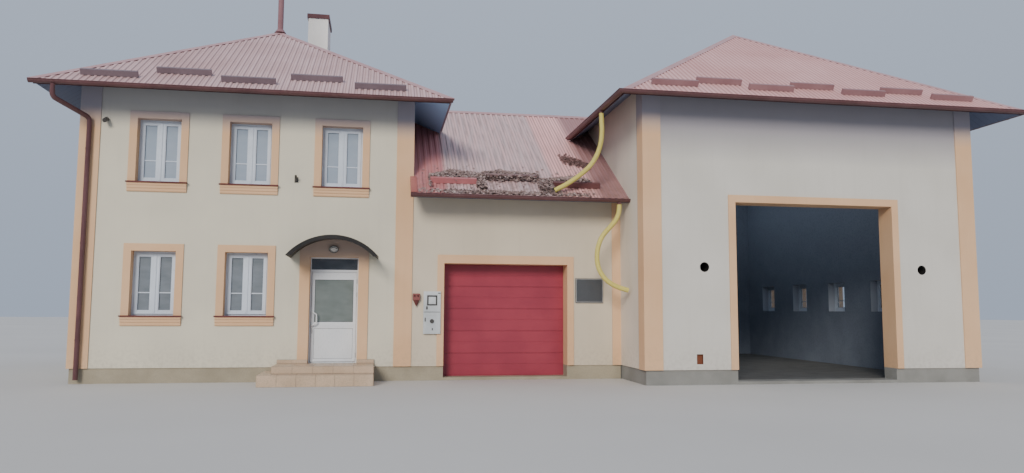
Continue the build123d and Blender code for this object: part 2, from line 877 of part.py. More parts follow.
def chimney_cap():
    return chimney_box(chimney_cap_lap, chimney_top, chimney_top + chimney_cap_height)


def siren_mast():
    """A pole on the apex with a plain cap and a skirt that closes the roof round it."""
    x, y = house_roof.hips()[4][0]
    pole = rod(x, y, house_eave, mast_top, mast_radius)
    skirt = Pos(x, y, house_roof.apex + flashing_height / 2) * Cone(
        flashing_radius, mast_radius + 12, flashing_height)
    cap = rod(x, y, mast_top, mast_top + mast_cap_height, mast_cap_radius)
    return (pole + skirt) - house_roof.under(lift=cap_top) + cap


# Raised render: pilasters at the corners and bands round the large openings
def corner_strip(x, y, dir_x, dir_y, front_width, side_width, roof):
    """Render that wraps a wall's corner; dir_x and dir_y point from the corner along the walls."""
    p = render_proud
    strips = []
    if front_width:
        x0, x1 = sorted((x - (dir_x * p if side_width else 0), x + dir_x * front_width))
        y0, y1 = sorted((y - dir_y * p, y))
        strips.append(block(x0, x1, y0, y1, plinth_height, far))
    if side_width:
        x0, x1 = sorted((x - dir_x * p, x))
        y0, y1 = sorted((y, y + dir_y * side_width))
        strips.append(block(x0, x1, y0, y1, plinth_height, far))
    return together(strips) & roof.under(lift=-deck)


def pilasters():
    w, s = pilaster_width, pilaster_return
    strips = [corner_strip(0, 0, 1, 1, w, s, house_roof),
              corner_strip(0, house_depth, 1, -1, w, s, house_roof),
              corner_strip(house_width, 0, -1, 1, w, 0, house_roof),
              corner_strip(house_width, house_depth, -1, -1, w, 0, house_roof),
              corner_strip(garage_right, 0, -1, 1, garage_strip, 0, garage_roof),
              corner_strip(garage_right, house_depth, -1, -1, garage_strip, 0, garage_roof),
              corner_strip(hall_left, hall_front, 1, 1, w, s, hall_roof),
              corner_strip(hall_right, hall_front, -1, 1, w, s, hall_roof),
              corner_strip(hall_left, hall_back, 1, -1, w, s, hall_roof),
              corner_strip(hall_right, hall_back, -1, -1, w, s, hall_roof)]
    return apart(strips)


def opening_band(left, right, head, leg, top_band, face_y, bottom):
    """A band of render on both sides and over the head of an opening."""
    outer = block(left - leg, right + leg, face_y - render_proud, face_y, bottom, head + top_band)
    return outer - block(left, right, face_y - wall, face_y + wall, bottom - 1, head)


def garage_door_surround():
    """The band round the garage door, which stops at the meter cabinet."""
    whole = opening_band(garage_door_left, garage_door_right, garage_door_head, garage_door_leg,
                         garage_door_top_band, 0, plinth_height)
    return whole - block(cabinet_left, cabinet_left + cabinet_width, -wall, wall,
                         cabinet_bottom, cabinet_bottom + cabinet_height)


def gate_surround():
    return opening_band(gate_left, gate_right, gate_head, gate_band, gate_band,
                        hall_front, plinth_height)


# Entrance
def arc_solid(radius, centre_z, y0, y1):
    lying = Location((door_centre, (y0 + y1) / 2, centre_z), (90, 0, 0))
    return lying * Cylinder(radius, y1 - y0)


canopy_radius = (canopy_chord ** 2 / 4 + canopy_rise ** 2) / (2 * canopy_rise)
canopy_centre_z = canopy_springing + canopy_rise - canopy_radius


def entrance_surround():
    """Legs beside the door that run up into a flat panel under the canopy's arch."""
    x0, x1 = door_left - entrance_leg, door_right + entrance_leg
    panel = block(x0, x1, -render_proud, 0, entrance_level + tile_upstand, far / 5)
    panel = panel & (arc_solid(canopy_radius - canopy_sheet, canopy_centre_z, -wall, wall)
                     + block(x0, x1, -wall, wall, 0, canopy_springing))
    return panel - block(door_left, door_right, -wall, wall, 0, door_head)


def entrance_canopy():
    """A barrel of sheet with a folded edge, fixed to the wall along its back."""
    y0, y1 = -canopy_reach, 0
    above = block(door_centre - far, door_centre + far, y0 - wall, wall, canopy_springing, far)
    shell = (arc_solid(canopy_radius, canopy_centre_z, y0, y1)
             - arc_solid(canopy_radius - canopy_sheet, canopy_centre_z, y0 - 1, y1 + 1))
    rim = (arc_solid(canopy_radius, canopy_centre_z, y0, y0 + canopy_edge)
           - arc_solid(canopy_radius - canopy_sheet - canopy_edge, canopy_centre_z, y0 - 1, y1))
    return (shell + rim) & above


def oval(width, height, y):
    """A flat oval that faces the street, in the plane at y."""
    turns = [math.radians(a) for a in range(0, 360, 30)]
    points = [(door_centre - 20 + width / 2 * math.cos(t), y, lamp_level + height / 2 * math.sin(t))
              for t in turns]
    return make_face(Polyline(*points, close=True))


def entrance_lamp():
    """An oval lamp with a bowed cover."""
    y = -render_proud
    base = extrude(oval(lamp_width, lamp_height, y), amount=lamp_depth * 0.4, dir=(0, -1, 0))
    front = y - lamp_depth * 0.4
    cover = loft([oval(lamp_width - 30, lamp_height - 30, front),
                  oval(lamp_width - 80, lamp_height - 75, front - lamp_depth * 0.6)])
    return base + cover


def entrance_frame():
    """White frame with a transom rail, a stop behind the leaf and the fixed halves of the hinges."""
    y0, y1 = door_reveal, door_reveal + door_frame_depth
    body = block(door_left, door_right, y0, y1, entrance_level, door_head)
    side = door_frame_side
    body = body - block(door_left + side, door_right - side, y0 - 1, y1 - door_stop,
                        entrance_level + threshold, transom_bottom - transom_rail)
    body = body - block(door_left + side + door_stop, door_right - side - door_stop, y0, y1 + 1,
                        entrance_level + threshold, transom_bottom - transom_rail - door_stop)
    body = body - block(door_left + side / 3, door_right - side / 3, y0 - 1, y1 + 1,
                        transom_bottom, door_head - threshold)
    for level in hinge_levels:
        knuckle = rod(hinge_x, hinge_y, level, level + hinge_height / 2, hinge_radius)
        plate = block(hinge_x + door_gap / 2, hinge_x + hinge_leaf, door_reveal - hinge_plate, door_reveal,
                      level, level + hinge_height / 2)
        body = body + knuckle + plate
    return body


def transom_glass():
    y0 = door_reveal + glass_setback
    return block(door_left + door_frame_side / 3, door_right - door_frame_side / 3,
                 y0, y0 + glass_thickness, transom_bottom, door_head - threshold)


def entrance_steps():
    """A tiled landing and one lower step, with tile upstands along the wall."""
    landing = (block(landing_left, landing_right, -landing_reach, 0, 0, entrance_level)
               + block(landing_left, landing_right, 0, plinth_setback, 0, plinth_height)
               + block(door_left, door_right, 0, plinth_setback, plinth_height, entrance_level))
    step = block(step_left, landing_right, -step_reach, -landing_reach, 0, step_level)
    side = block(step_left, landing_left, -landing_reach, plinth_setback, 0, step_level)
    body = landing + step + side
    left_end = door_left - entrance_leg
    left_tile = block(landing_left, door_left, -tile_thickness - render_proud, -render_proud,
                      entrance_level, entrance_level + tile_upstand)
    back_fill = block(landing_left, left_end, -render_proud, 0, entrance_level, entrance_level + tile_upstand)
    under_leg = block(left_end, door_left, -render_proud, 0, entrance_level, entrance_level + tile_upstand)
    right_tile = block(door_right, landing_right, -tile_thickness - render_proud, 0,
                       entrance_level, entrance_level + tile_upstand)
    return body + left_tile + back_fill + under_leg + right_tile


def door_leaf():
    """Leaf with a glazed upper half and a recessed lower panel, and the moving hinge halves."""
    y0, y1 = door_reveal, door_reveal + leaf_thickness
    body = block(leaf_left, leaf_right, y0, y1, leaf_bottom, leaf_top)
    body = body - block(leaf_left + leaf_stile, leaf_right - leaf_stile, y0 - 1, y1 + 1,
                        leaf_rail_height, leaf_top - leaf_top_rail)
    for a, b in ((y0 - 1, y0 + panel_setback), (y1 - panel_setback, y1 + 1)):
        body = body - block(leaf_left + leaf_stile, leaf_right - leaf_stile, a, b,
                            leaf_bottom + leaf_bottom_rail, leaf_rail_height - leaf_rail)
    for level in hinge_levels:
        z0 = level + hinge_height / 2 + hinge_play
        knuckle = rod(hinge_x, hinge_y, z0, level + hinge_height, hinge_radius)
        plate = block(hinge_x - hinge_leaf, hinge_x - door_gap / 2, door_reveal - hinge_plate, door_reveal,
                      z0, level + hinge_height)
        bridge = block(hinge_x - door_gap / 2 - 1, hinge_x, door_reveal - hinge_plate, door_reveal - 1,
                       z0, level + hinge_height)
        body = body + knuckle + plate + bridge
    return body


def door_glass():
    y0 = door_reveal + glass_setback
    return block(leaf_left + leaf_stile, leaf_right - leaf_stile, y0, y0 + glass_thickness,
                 leaf_rail_height, leaf_top - leaf_top_rail)


def door_handle():
    """A bowed pull bar on the stile away from the hinges."""
    x = leaf_left + leaf_stile / 2
    y = door_reveal
    z0, z1 = pull_level - pull_height / 2, pull_level + pull_height / 2
    path = FilletPolyline((x, y, z0), (x + 20, y - pull_reach, z0 + 10),
                          (x + pull_width, y - pull_reach, z0 + 60),
                          (x + pull_width, y - pull_reach, z1 - 60),
                          (x + 20, y - pull_reach, z1 - 10), (x, y, z1), radius=18)
    start = path @ 0
    section = Plane(origin=start, z_dir=path % 0) * RegularPolygon(pull_radius, 8)
    pull = sweep(section, path=path)
    roses = [block(x - leaf_stile / 2, x + leaf_stile / 2, y - 6, y, z - 30, z + 30) for z in (z0, z1)]
    keep = block(x - far, x + far, y - far, y, 0, far)
    return together([pull & keep] + roses)


# Garage door
def garage_door():
    """Sectional door that closes the opening, with a groove at each joint of its panels."""
    y0 = garage_door_recess
    z0 = hall_floor_level
    body = block(garage_door_left, garage_door_right, y0, y0 + garage_door_thickness, z0, garage_door_head)
    pitch = (garage_door_head - z0) / garage_panels
    for i in range(1, garage_panels):
        level = z0 + i * pitch
        body = body - block(garage_door_left - 1, garage_door_right + 1, y0 - 1, y0 + panel_groove,
                            level - panel_groove / 2, level + panel_groove / 2)
    return body


# Fittings on the front
def security_camera():
    """A small dome camera on an arm with a hood."""
    arm = block(camera_x - 20, camera_x + 20, -70, -8, camera_level - 15, camera_level + 15)
    foot = Location((camera_x, 0, camera_level), (90, 0, 0)) * bar(38, 8)
    barrel = Location((camera_x, -42, camera_level + 2), (115, 0, 0)) * bar(camera_radius, 150)
    return foot + arm + barrel


def flag_holder():
    """A wall plate with a slanting socket for a flag pole."""
    plate = block(flag_x - 40, flag_x + 40, -8, 0, flag_level - 60, flag_level + 60)
    tilt = Location((flag_x, -24, flag_level - 18), (55, 0, 0))
    socket = tilt * (bar(24, 150) - Pos(0, 0, 12) * bar(18, 150))
    arm = block(flag_x - 10, flag_x + 10, -85, -8, flag_level - 25, flag_level + 5)
    return plate + arm + socket


def alarm_box():
    x1 = alarm_left + alarm_width
    body = block(alarm_left, x1, -alarm_depth, 0, alarm_bottom, alarm_bottom + alarm_height)
    window = block(alarm_left + 30, x1 - 30, -alarm_depth - 1, -alarm_depth + 10,
                   alarm_bottom + 90, alarm_bottom + alarm_height - 40)
    return body - window


def meter_cabinet():
    """Two doors one over the other; the upper has a small window, the lower a round lock."""
    x1, top = cabinet_left + cabinet_width, cabinet_bottom + cabinet_height
    body = block(cabinet_left, x1, -cabinet_depth, 0, cabinet_bottom, top)
    split = cabinet_bottom + cabinet_split
    body = body - block(cabinet_left - 1, x1 + 1, -cabinet_depth - 1, -cabinet_depth + 8, split - 4, split + 4)
    centre = (cabinet_left + x1) / 2
    body = body - block(centre - cabinet_window, centre + cabinet_window, -cabinet_depth - 1,
                        -cabinet_depth + 6, split + 150, top - 90)
    lock = Location((centre, -cabinet_depth, split - 200), (90, 0, 0)) * bar(28, 10)
    return body + lock


def wall_plaque():
    x1, top = plaque_left + plaque_width, plaque_bottom + plaque_height
    body = block(plaque_left, x1, -plaque_thickness, 0, plaque_bottom, top)
    return body - block(plaque_left + 25, x1 - 25, -plaque_thickness - 1, -plaque_thickness + 5,
                        plaque_bottom + 25, top - 25)


# Drain hoses that stand in for the missing downpipes
def hose(name, route):
    """A tube along straight runs joined by tangent arcs, each as large as its runs allow."""
    points = [Vector(*point) for point in route]
    radii = []
    for before, here, after in zip(points, points[1:], points[2:]):
        turn = math.radians((here - before).get_angle(after - here))
        run = min((here - before).length, (after - here).length)
        radii.append(0.45 * run / math.tan(turn / 2))
    print(name, "bend radii", [round(radius) for radius in radii])
    path = FilletPolyline(*points, radius=radii)
    ring_section = Plane(origin=points[0], z_dir=path % 0) * RegularPolygon(hose_diameter / 2, hose_sides)
    tube = sweep(ring_section, path=path)
    ideal = ring_section.area * path.length
    print(name, "length", round(path.length), "volume over section times length", round(tube.volume / ideal, 4))
    return tube


def on_garage_roof(y):
    """Height at which a hose's middle lies on the ribs of the garage roof."""
    deck_top = garage_roof.eave + (y - garage_roof.front) * garage_slope
    return deck_top + sheet_top + (hose_diameter / 2 + seat_gap) * math.hypot(1, garage_slope)


def route_from(x, y, z, steps):
    """Places along a hose from its outlet, each given as a step from the outlet."""
    return [(x + dx, y + dy, z + dz) for dx, dy, dz in steps]


upper_hose_route = route_from(hall_outlet_x, hall_outlet_y, outlet_end(hall_eave, short_outlet), [
    (0, 0, 0), (0, 0, -150), (25, 35, -400), (5, 80, -690), (-80, 125, -960),
    (-225, 170, -1190), (-430, 215, -1375), (-640, 250, -1530), (-840, 280, -1655)])
upper_hose_end_y = hall_outlet_y + 265
upper_hose_route.append((hall_outlet_x - 1030, upper_hose_end_y, on_garage_roof(upper_hose_end_y)))
lower_hose_route = route_from(
    garage_outlet_x, garage_outlet_y, outlet_end(garage_eave, short_outlet), [
        (0, 0, 0), (0, 0, -150), (-70, 0, -340), (-225, -10, -520), (-380, -20, -680),
        (-480, -30, -860), (-534, -30, -1080), (-530, -30, -1350), (-440, -30, -1570),
        (-280, -35, -1745), (-70, -45, -1860), (175, -70, -1925)])


def all_pieces():
    pieces = {"house_plinth": house_plinth(), "garage_plinth": garage_plinth(),
              "hall_plinth": hall_plinth()}
    for group in (house_floors(), ground_slabs(), house_walls(), garage_walls(), hall_walls(),
                  roof_decks(), roof_sheets()):
        pieces.update(group)
    pieces["ridge_caps"] = ridge_caps()
    pieces["snow_guards"] = snow_guards()
    pieces["gutters"] = gutters()
    pieces["house_downpipe"] = house_downpipe()
    pieces["chimney"] = chimney()
    pieces["chimney_cap"] = chimney_cap()
    pieces["siren_mast"] = siren_mast()
    pieces["pilasters"] = pilasters()
    pieces["window_surrounds"] = apart([window.surround() for window in all_windows])
    pieces["window_sills"] = apart([window.sill_pieces() for window in all_windows])
    pieces["sill_mouldings"] = apart([window.moulding() for window in all_windows])
    pieces["window_frames"] = apart([window.frame() for window in all_windows])
    panes = [pane for window in all_windows for pane in window.glass()]
    pieces["window_glass"] = apart(panes + [transom_glass()])
    pieces["door_surrounds"] = apart([garage_door_surround(), gate_surround(), entrance_surround()])
    pieces["garage_door"] = garage_door()
    pieces["entrance_canopy"] = entrance_canopy()
    pieces["entrance_lamp"] = entrance_lamp()
    pieces["entrance_frame"] = entrance_frame()
    pieces["entrance_steps"] = entrance_steps()
    pieces["door_leaf"] = door_leaf()
    pieces["door_glass"] = door_glass()
    pieces["door_handle"] = door_handle()
    pieces["security_camera"] = security_camera()
    pieces["flag_holder"] = flag_holder()
    pieces["alarm_box"] = alarm_box()
    pieces["meter_cabinet"] = meter_cabinet()
    pieces["wall_plaque"] = wall_plaque()
    pieces["upper_hose"] = hose("upper hose", upper_hose_route)
    pieces["lower_hose"] = hose("lower hose", lower_hose_route)
    return pieces


def write_parts(pieces):
    """Moves the whole building over the origin and writes each piece."""
    os.makedirs("parts", exist_ok=True)
    boxes = [piece.bounding_box() for piece in pieces.values()]
    middle_x = (min(box.min.X for box in boxes) + max(box.max.X for box in boxes)) / 2
    middle_y = (min(box.min.Y for box in boxes) + max(box.max.Y for box in boxes)) / 2
    print("moved by", round(-middle_x, 3), round(-middle_y, 3))
    for name, piece in pieces.items():
        solids = [Pos(-middle_x, -middle_y, 0) * solid for solid in piece.solids()]
        export_step(solids[0] if len(solids) == 1 else Compound(solids), "parts/" + name + ".step")


write_parts(all_pieces())
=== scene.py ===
# %% [markdown]
# # A fire station with ribbed metal roofs
#
# The frame holds the building as it is constructed: walls, floors, roofs, doors and gutters
# at their real size. This script gives each of them its finish and adds what is too small or
# too many for the construction: the true ribs of the roof sheets, corrugated hoses, glazing
# beads, tiles, door ribs and a season's dead leaves.

# %% Load the frame and keep its box
import json
import math
import random

import bmesh
import bpy
from mathutils import Matrix, Vector


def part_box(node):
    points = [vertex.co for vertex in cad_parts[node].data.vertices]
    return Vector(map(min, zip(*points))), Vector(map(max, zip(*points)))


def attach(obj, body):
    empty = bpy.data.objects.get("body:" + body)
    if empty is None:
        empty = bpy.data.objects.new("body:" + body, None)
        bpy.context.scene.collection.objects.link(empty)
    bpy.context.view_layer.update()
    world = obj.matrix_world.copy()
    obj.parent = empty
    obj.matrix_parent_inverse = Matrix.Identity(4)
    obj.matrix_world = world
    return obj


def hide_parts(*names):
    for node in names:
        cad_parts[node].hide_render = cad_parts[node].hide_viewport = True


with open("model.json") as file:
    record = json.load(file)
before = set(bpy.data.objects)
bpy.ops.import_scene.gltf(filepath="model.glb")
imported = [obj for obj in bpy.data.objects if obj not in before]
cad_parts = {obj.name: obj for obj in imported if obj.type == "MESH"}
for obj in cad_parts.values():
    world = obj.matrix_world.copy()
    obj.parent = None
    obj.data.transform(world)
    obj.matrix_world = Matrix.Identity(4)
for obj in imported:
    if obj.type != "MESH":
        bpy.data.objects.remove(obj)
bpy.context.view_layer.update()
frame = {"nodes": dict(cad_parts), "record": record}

# %% [markdown]
# ## Lengths as on the drawing
#
# A drawing of a building measures from one corner. Here X runs along the front from the left
# corner of the house, Y runs back from its front wall and Z goes up, all in metres. One
# function turns such a place into the frame's, whose origin is under the building's middle,
# so every number below can be checked against the building itself.

# %% The corner of the house
low_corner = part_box("house_front_wall_left")[0]
house_corner = Vector((low_corner[0], low_corner[1], 0.0))


def at(x, y, z=0.0):
    """A place on the drawing as a place in the frame."""
    return house_corner + Vector((x, y, z))


def moved_to(x, y, z=0.0, turn=0.0):
    """A matrix that puts a piece made round the origin at a place on the drawing."""
    return Matrix.Translation(at(x, y, z)) @ Matrix.Rotation(math.radians(turn), 4, "Z")


print("house corner", tuple(round(value, 4) for value in house_corner))

# %% Main sizes, as in the construction
house_width, house_depth = 7.005, 7.700
garage_width = 4.814
hall_width, hall_depth, hall_forward = 7.894, 10.700, 1.700
wall = 0.450
garage_left = house_width
garage_right = garage_left + garage_width
hall_left = garage_right
hall_right = hall_left + hall_width
hall_front = -hall_forward
hall_back = hall_front + hall_depth
render_proud = 0.025
door_centre = house_width - 1.695

# %% [markdown]
# ## Helpers for meshes
#
# Most pieces below follow the same way: a bmesh is shaped by operators, moved to its place
# and handed over as an object that sits at the origin, with its finish and its body.

# %% Hand over a finished mesh, and the shapes that come back most often
def mesh_of(name, bm):
    """The mesh of a bmesh, which is freed."""
    mesh = bpy.data.meshes.new(name)
    bm.to_mesh(mesh)
    bm.free()
    return mesh


def put_in(name, data):
    """An object for a mesh, a light or other data, at the origin."""
    placed = bpy.data.objects.new(name, data)
    bpy.context.scene.collection.objects.link(placed)
    return placed


def new_piece(name, bm, finish=None, body="building", smooth=None):
    """Makes an object from a bmesh that is already in place, and lets it ride on a body."""
    mesh = mesh_of(name, bm)
    piece = put_in(name, mesh)
    if smooth is not None:
        mesh.shade_smooth()
        mesh.set_sharp_from_angle(angle=math.radians(smooth))
    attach(piece, body)
    if finish is not None:
        coat_new(piece, finish)
    print(name, len(mesh.polygons), "faces")
    return piece


def merge(bm, part):
    """Adds one bmesh to another and frees it."""
    mesh = mesh_of("part", part)
    bm.from_mesh(mesh)
    bpy.data.meshes.remove(mesh)


def add_copy(bm, mesh, matrix):
    """Adds a copy of a mesh at a place."""
    part = mesh.copy()
    part.transform(matrix)
    bm.from_mesh(part)
    bpy.data.meshes.remove(part)


def add_box(bm, low, high):
    """Adds a block between two corners and returns its vertices."""
    low, high = Vector(low), Vector(high)
    place = Matrix.Translation((low + high) / 2) @ Matrix.Diagonal((*(high - low), 1))
    return bmesh.ops.create_cube(bm, size=1, matrix=place)["verts"]


def add_round(bm, place, radius, depth, segments=20, top=None, flat=1, lying=False, caps=True):
    """Adds an upright round or cone, flattened if wanted; a lying one points into the wall."""
    matrix = moved_to(*place) @ Matrix.Diagonal((1, flat, 1, 1))
    if lying:
        matrix = matrix @ Matrix.Rotation(math.radians(90), 4, "X")
    bmesh.ops.create_cone(bm, segments=segments, radius1=radius, radius2=top or radius, depth=depth,
                          cap_ends=caps, matrix=matrix)


def extrude_edges(bm, edges, vec):
    """Draws faces out of a row of edges."""
    grown = bmesh.ops.extrude_edge_only(bm, edges=edges)["geom"]
    bmesh.ops.translate(bm, vec=vec, verts=[v for v in grown if isinstance(v, bmesh.types.BMVert)])


def edges_between(verts):
    """The edges whose two ends are both among some vertices, in an order that never changes."""
    chosen = set(verts)
    return [edge for edge in dict.fromkeys(e for v in verts for e in v.link_edges)
            if all(v in chosen for v in edge.verts)]


def round_edges(bm, verts, width, segments=2):
    """Rounds the sharp edges of one loose block."""
    sharp = [edge for edge in edges_between(verts)
             if len(edge.link_faces) == 2 and edge.calc_face_angle() > math.radians(20)]
    bmesh.ops.bevel(bm, geom=sharp, offset=width, segments=segments, profile=0.5,
                    affect="EDGES", material=-1)


# %% [markdown]
# ## Camera
#
# The camera stands where the photographer stood: at eye height across the street, turned a
# little to the right and tilted up by five degrees. Its matrix is built from those angles,
# because a matrix has no order of rotations to get wrong.

# %% Place the camera
eye = at(6.324, -17.500, 1.567)
yaw, pitch, roll = 0.16604, 0.09367, 0.004917
level_ahead = Vector((math.sin(yaw), math.cos(yaw), 0))
level_right = Vector((math.cos(yaw), -math.sin(yaw), 0))
ahead = level_ahead * math.cos(pitch) + Vector((0, 0, math.sin(pitch)))
above = Vector((0, 0, math.cos(pitch))) - level_ahead * math.sin(pitch)
right = level_right * math.cos(roll) + above * math.sin(roll)
above = above * math.cos(roll) - level_right * math.sin(roll)
camera_data = bpy.data.cameras.new("street_camera")
focal_pixels, picture_width = 779.5, 1024
camera_data.sensor_width = 36.0
camera_data.lens = focal_pixels / picture_width * camera_data.sensor_width
camera_data.clip_end = 300.0
camera = put_in("street_camera", camera_data)
camera.matrix_world = Matrix((
    (right.x, above.x, -ahead.x, eye.x),
    (right.y, above.y, -ahead.y, eye.y),
    (right.z, above.z, -ahead.z, eye.z),
    (0, 0, 0, 1)))
bpy.context.scene.camera = camera
print("lens", round(camera_data.lens, 2), "mm")

# %% [markdown]
# ## Drain hoses
#
# Two downpipes are missing. In their place hang lengths of yellow corrugated drain pipe,
# 110 mm across, stiff enough to keep the bow they had on the coil. Each is a smooth spline
# through the points where it hangs. A bevelled curve would give a plain tube, so rings of
# two radii are set along that spline and bridged, which gives the real corrugation.

# %% Routes of the hoses
hose_diameter = 0.110
eave_of_garage, garage_front_eave, garage_slope = 4.085, -0.680, 0.6586
sheet_and_rib, hose_rests_at = 0.026, 0.0553


def on_garage_roof(y):
    """Height at which a hose's middle lies on the ribs of the garage roof."""
    above_ribs = sheet_and_rib + hose_rests_at * math.hypot(1, garage_slope)
    return eave_of_garage + (y - garage_front_eave) * garage_slope + above_ribs


upper_start = Vector((11.1387, -0.865, 5.977))
upper_steps = [(0, 0, 0), (0, 0, -0.150), (0.025, 0.035, -0.400), (0.005, 0.080, -0.690),
               (-0.080, 0.125, -0.960), (-0.225, 0.170, -1.190), (-0.430, 0.215, -1.375),
               (-0.640, 0.250, -1.530), (-0.840, 0.280, -1.655)]
upper_route = [upper_start + Vector(step) for step in upper_steps]
upper_end_y = upper_start.y + 0.265
upper_route.append(Vector((upper_start.x - 1.030, upper_end_y, on_garage_roof(upper_end_y))))
lower_start = Vector((11.574, -0.7503, 3.932))
lower_steps = [(0, 0, 0), (0, 0, -0.150), (-0.070, 0, -0.340), (-0.225, -0.010, -0.520),
               (-0.380, -0.020, -0.680), (-0.480, -0.030, -0.860), (-0.534, -0.030, -1.080),
               (-0.530, -0.030, -1.350), (-0.440, -0.030, -1.570), (-0.280, -0.035, -1.745),
               (-0.070, -0.045, -1.860), (0.175, -0.070, -1.925)]
lower_route = [lower_start + Vector(step) for step in lower_steps]


# %% A smooth line through a route
def smooth_line(name, route):
    """Points of a NURBS spline with the route as its control points, and its length."""
    curve = bpy.data.curves.new(name, "CURVE")
    curve.dimensions = "3D"
    curve.resolution_u = 24
    spline = curve.splines.new("NURBS")
    spline.points.add(len(route) - 1)
    for point, place in zip(spline.points, route):
        point.co = (*at(*place), 1)
    spline.order_u = 3
    spline.use_endpoint_u = True
    holder = put_in(name, curve)
    mesh = bpy.data.meshes.new_from_object(holder)
    line = [v.co.copy() for v in mesh.vertices]
    bpy.data.objects.remove(holder)
    bpy.data.meshes.remove(mesh)
    length = sum((b - a).length for a, b in zip(line, line[1:]))
    return line, length


def point_along(line, distance):
    """Place and direction at a distance along a line."""
    for a, b in zip(line, line[1:]):
        step = (b - a).length
        if distance <= step:
            return a.lerp(b, distance / step), (b - a).normalized()
        distance -= step
    return line[-1], (line[-1] - line[-2]).normalized()


# %% Corrugated tube along a line
corrugation, groove_depth = 0.014, 0.0045
crest_radius = hose_diameter / 2
root_radius = crest_radius - groove_depth
profile = ((0.00, root_radius), (0.22, crest_radius), (0.60, crest_radius), (0.80, root_radius))


def corrugated_tube(name, route):
    """A mesh tube with square-shouldered corrugations, two rings on each crest and root."""
    line, length = smooth_line(name + "_line", route)
    bm = bmesh.new()
    count = round(length / corrugation)
    across = Vector((1, 0, 0))
    loops = []
    for i in range(count):
        for share, radius in profile:
            place, way = point_along(line, (i + share) * length / count)
            across = (across - way * across.dot(way)).normalized()
            side = way.cross(across)
            turn = Matrix((across, side, way)).transposed().to_4x4()
            made = bmesh.ops.create_circle(bm, segments=22, radius=radius,
                                           matrix=Matrix.Translation(place) @ turn)
            loops.append(edges_between(made["verts"]))
    for one, other in zip(loops, loops[1:]):
        bmesh.ops.bridge_loops(bm, edges=one + other)
    bmesh.ops.recalc_face_normals(bm, faces=bm.faces)
    bmesh.ops.solidify(bm, geom=bm.faces[:], thickness=0.003)
    piece = new_piece(name, bm, smooth=50)
    print(name, "length", round(length, 3), "m")
    return piece, line, length


hoses = []
for node, route in (("upper_hose", upper_route), ("lower_hose", lower_route)):
    tube, line, length = corrugated_tube(node + "_tube", route)
    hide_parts(node)
    hoses.append(tube)

# %% [markdown]
# ## Helpers for finishes
#
# A finish starts from what the real surface is. Colours are written as sRGB hex values, the
# way a paint chart gives them, and one function turns them to the linear values a shader
# needs. Patterns are sized in metres from real grains, boards and stains.

# %% Colour and node helpers
def linear(code):
    """An sRGB hex colour as linear red, green, blue and alpha."""
    values = [int(code[i:i + 2], 16) / 255 for i in (1, 3, 5)]
    return [v / 12.92 if v <= 0.04045 else ((v + 0.055) / 1.055) ** 2.4 for v in values] + [1.0]


class Nodes:
    """A node tree with its coordinates, and the patterns and mixes made of its nodes."""

    def __init__(self, tree, coordinates="Object"):
        self.tree = tree
        self.place = self.add("TexCoord").outputs[coordinates]

    def add(self, kind, inputs=None, **settings):
        """Adds one node: settings are its properties, inputs are values or sockets to link."""
        made = self.tree.nodes.new("ShaderNode" + kind)
        for name, value in settings.items():
            setattr(made, name, value)
        for name, value in (inputs or {}).items():
            if isinstance(value, bpy.types.NodeSocket):
                self.tree.links.new(value, made.inputs[name])
            else:
                made.inputs[name].default_value = value
        return made

    def worked(self, kind, operation, *values):
        """The result of one Math or VectorMath node."""
        return self.add(kind, dict(enumerate(values)), operation=operation).outputs[0]

    def axis(self, number, vector=None):
        """One part of a vector; axis 2 of the coordinates is the height above the ground."""
        vector = self.place if vector is None else vector
        return self.add("SeparateXYZ", {0: vector}).outputs[number]

    def ramp(self, value, start, end, low=0.0, high=1.0):
        """A value from start to end turned into low to high, and held outside them."""
        return self.add("MapRange", {"Value": value, 1: start, 2: end, 3: low, 4: high}).outputs[0]

    def product(self, one, other):
        """Two patterns or numbers multiplied."""
        return self.worked("Math", "MULTIPLY", one, other)

    def mixed(self, share, one, other):
        """Two colours mixed by a share, given as a number or a pattern."""
        return self.add("Mix", {0: share, 6: one, 7: other}, data_type="RGBA",
                        blend_type="MIX", clamp_factor=True).outputs[2]

    def clouds(self, size, low=0.35, high=0.65, detail=4.0, stretch=(1, 1, 1), where=None):
        """A soft pattern from 0 to 1 whose blots are about size across, in metres."""
        where = self.place if where is None else where
        scaled = self.worked("VectorMath", "MULTIPLY", where, [1 / s for s in stretch])
        noise = self.add("TexNoise", {"Vector": scaled, "Scale": 1 / size, "Detail": detail})
        return self.ramp(noise.outputs[0], low, high)

    def zone(self, value, start, end, soft):
        """1 where a value lies between two limits, with soft edges."""
        rising = self.ramp(value, start - soft, start + soft)
        return self.product(rising, self.ramp(value, end - soft, end + soft, 1.0, 0.0))

    def inside(self, low, high, edge=0.0005):
        """1 within a box on the drawing and 0 outside."""
        low, high = at(*low), at(*high)
        off = self.worked("VectorMath", "SUBTRACT", self.place, (low + high) / 2)
        off = self.worked("VectorMath", "ABSOLUTE", off)
        off = self.worked("VectorMath", "SUBTRACT", off, (high - low) / 2)
        far = self.worked("Math", "MAXIMUM", self.axis(0, off), self.axis(1, off))
        far = self.worked("Math", "MAXIMUM", far, self.axis(2, off))
        return self.ramp(far, -edge, edge, 1.0, 0.0)


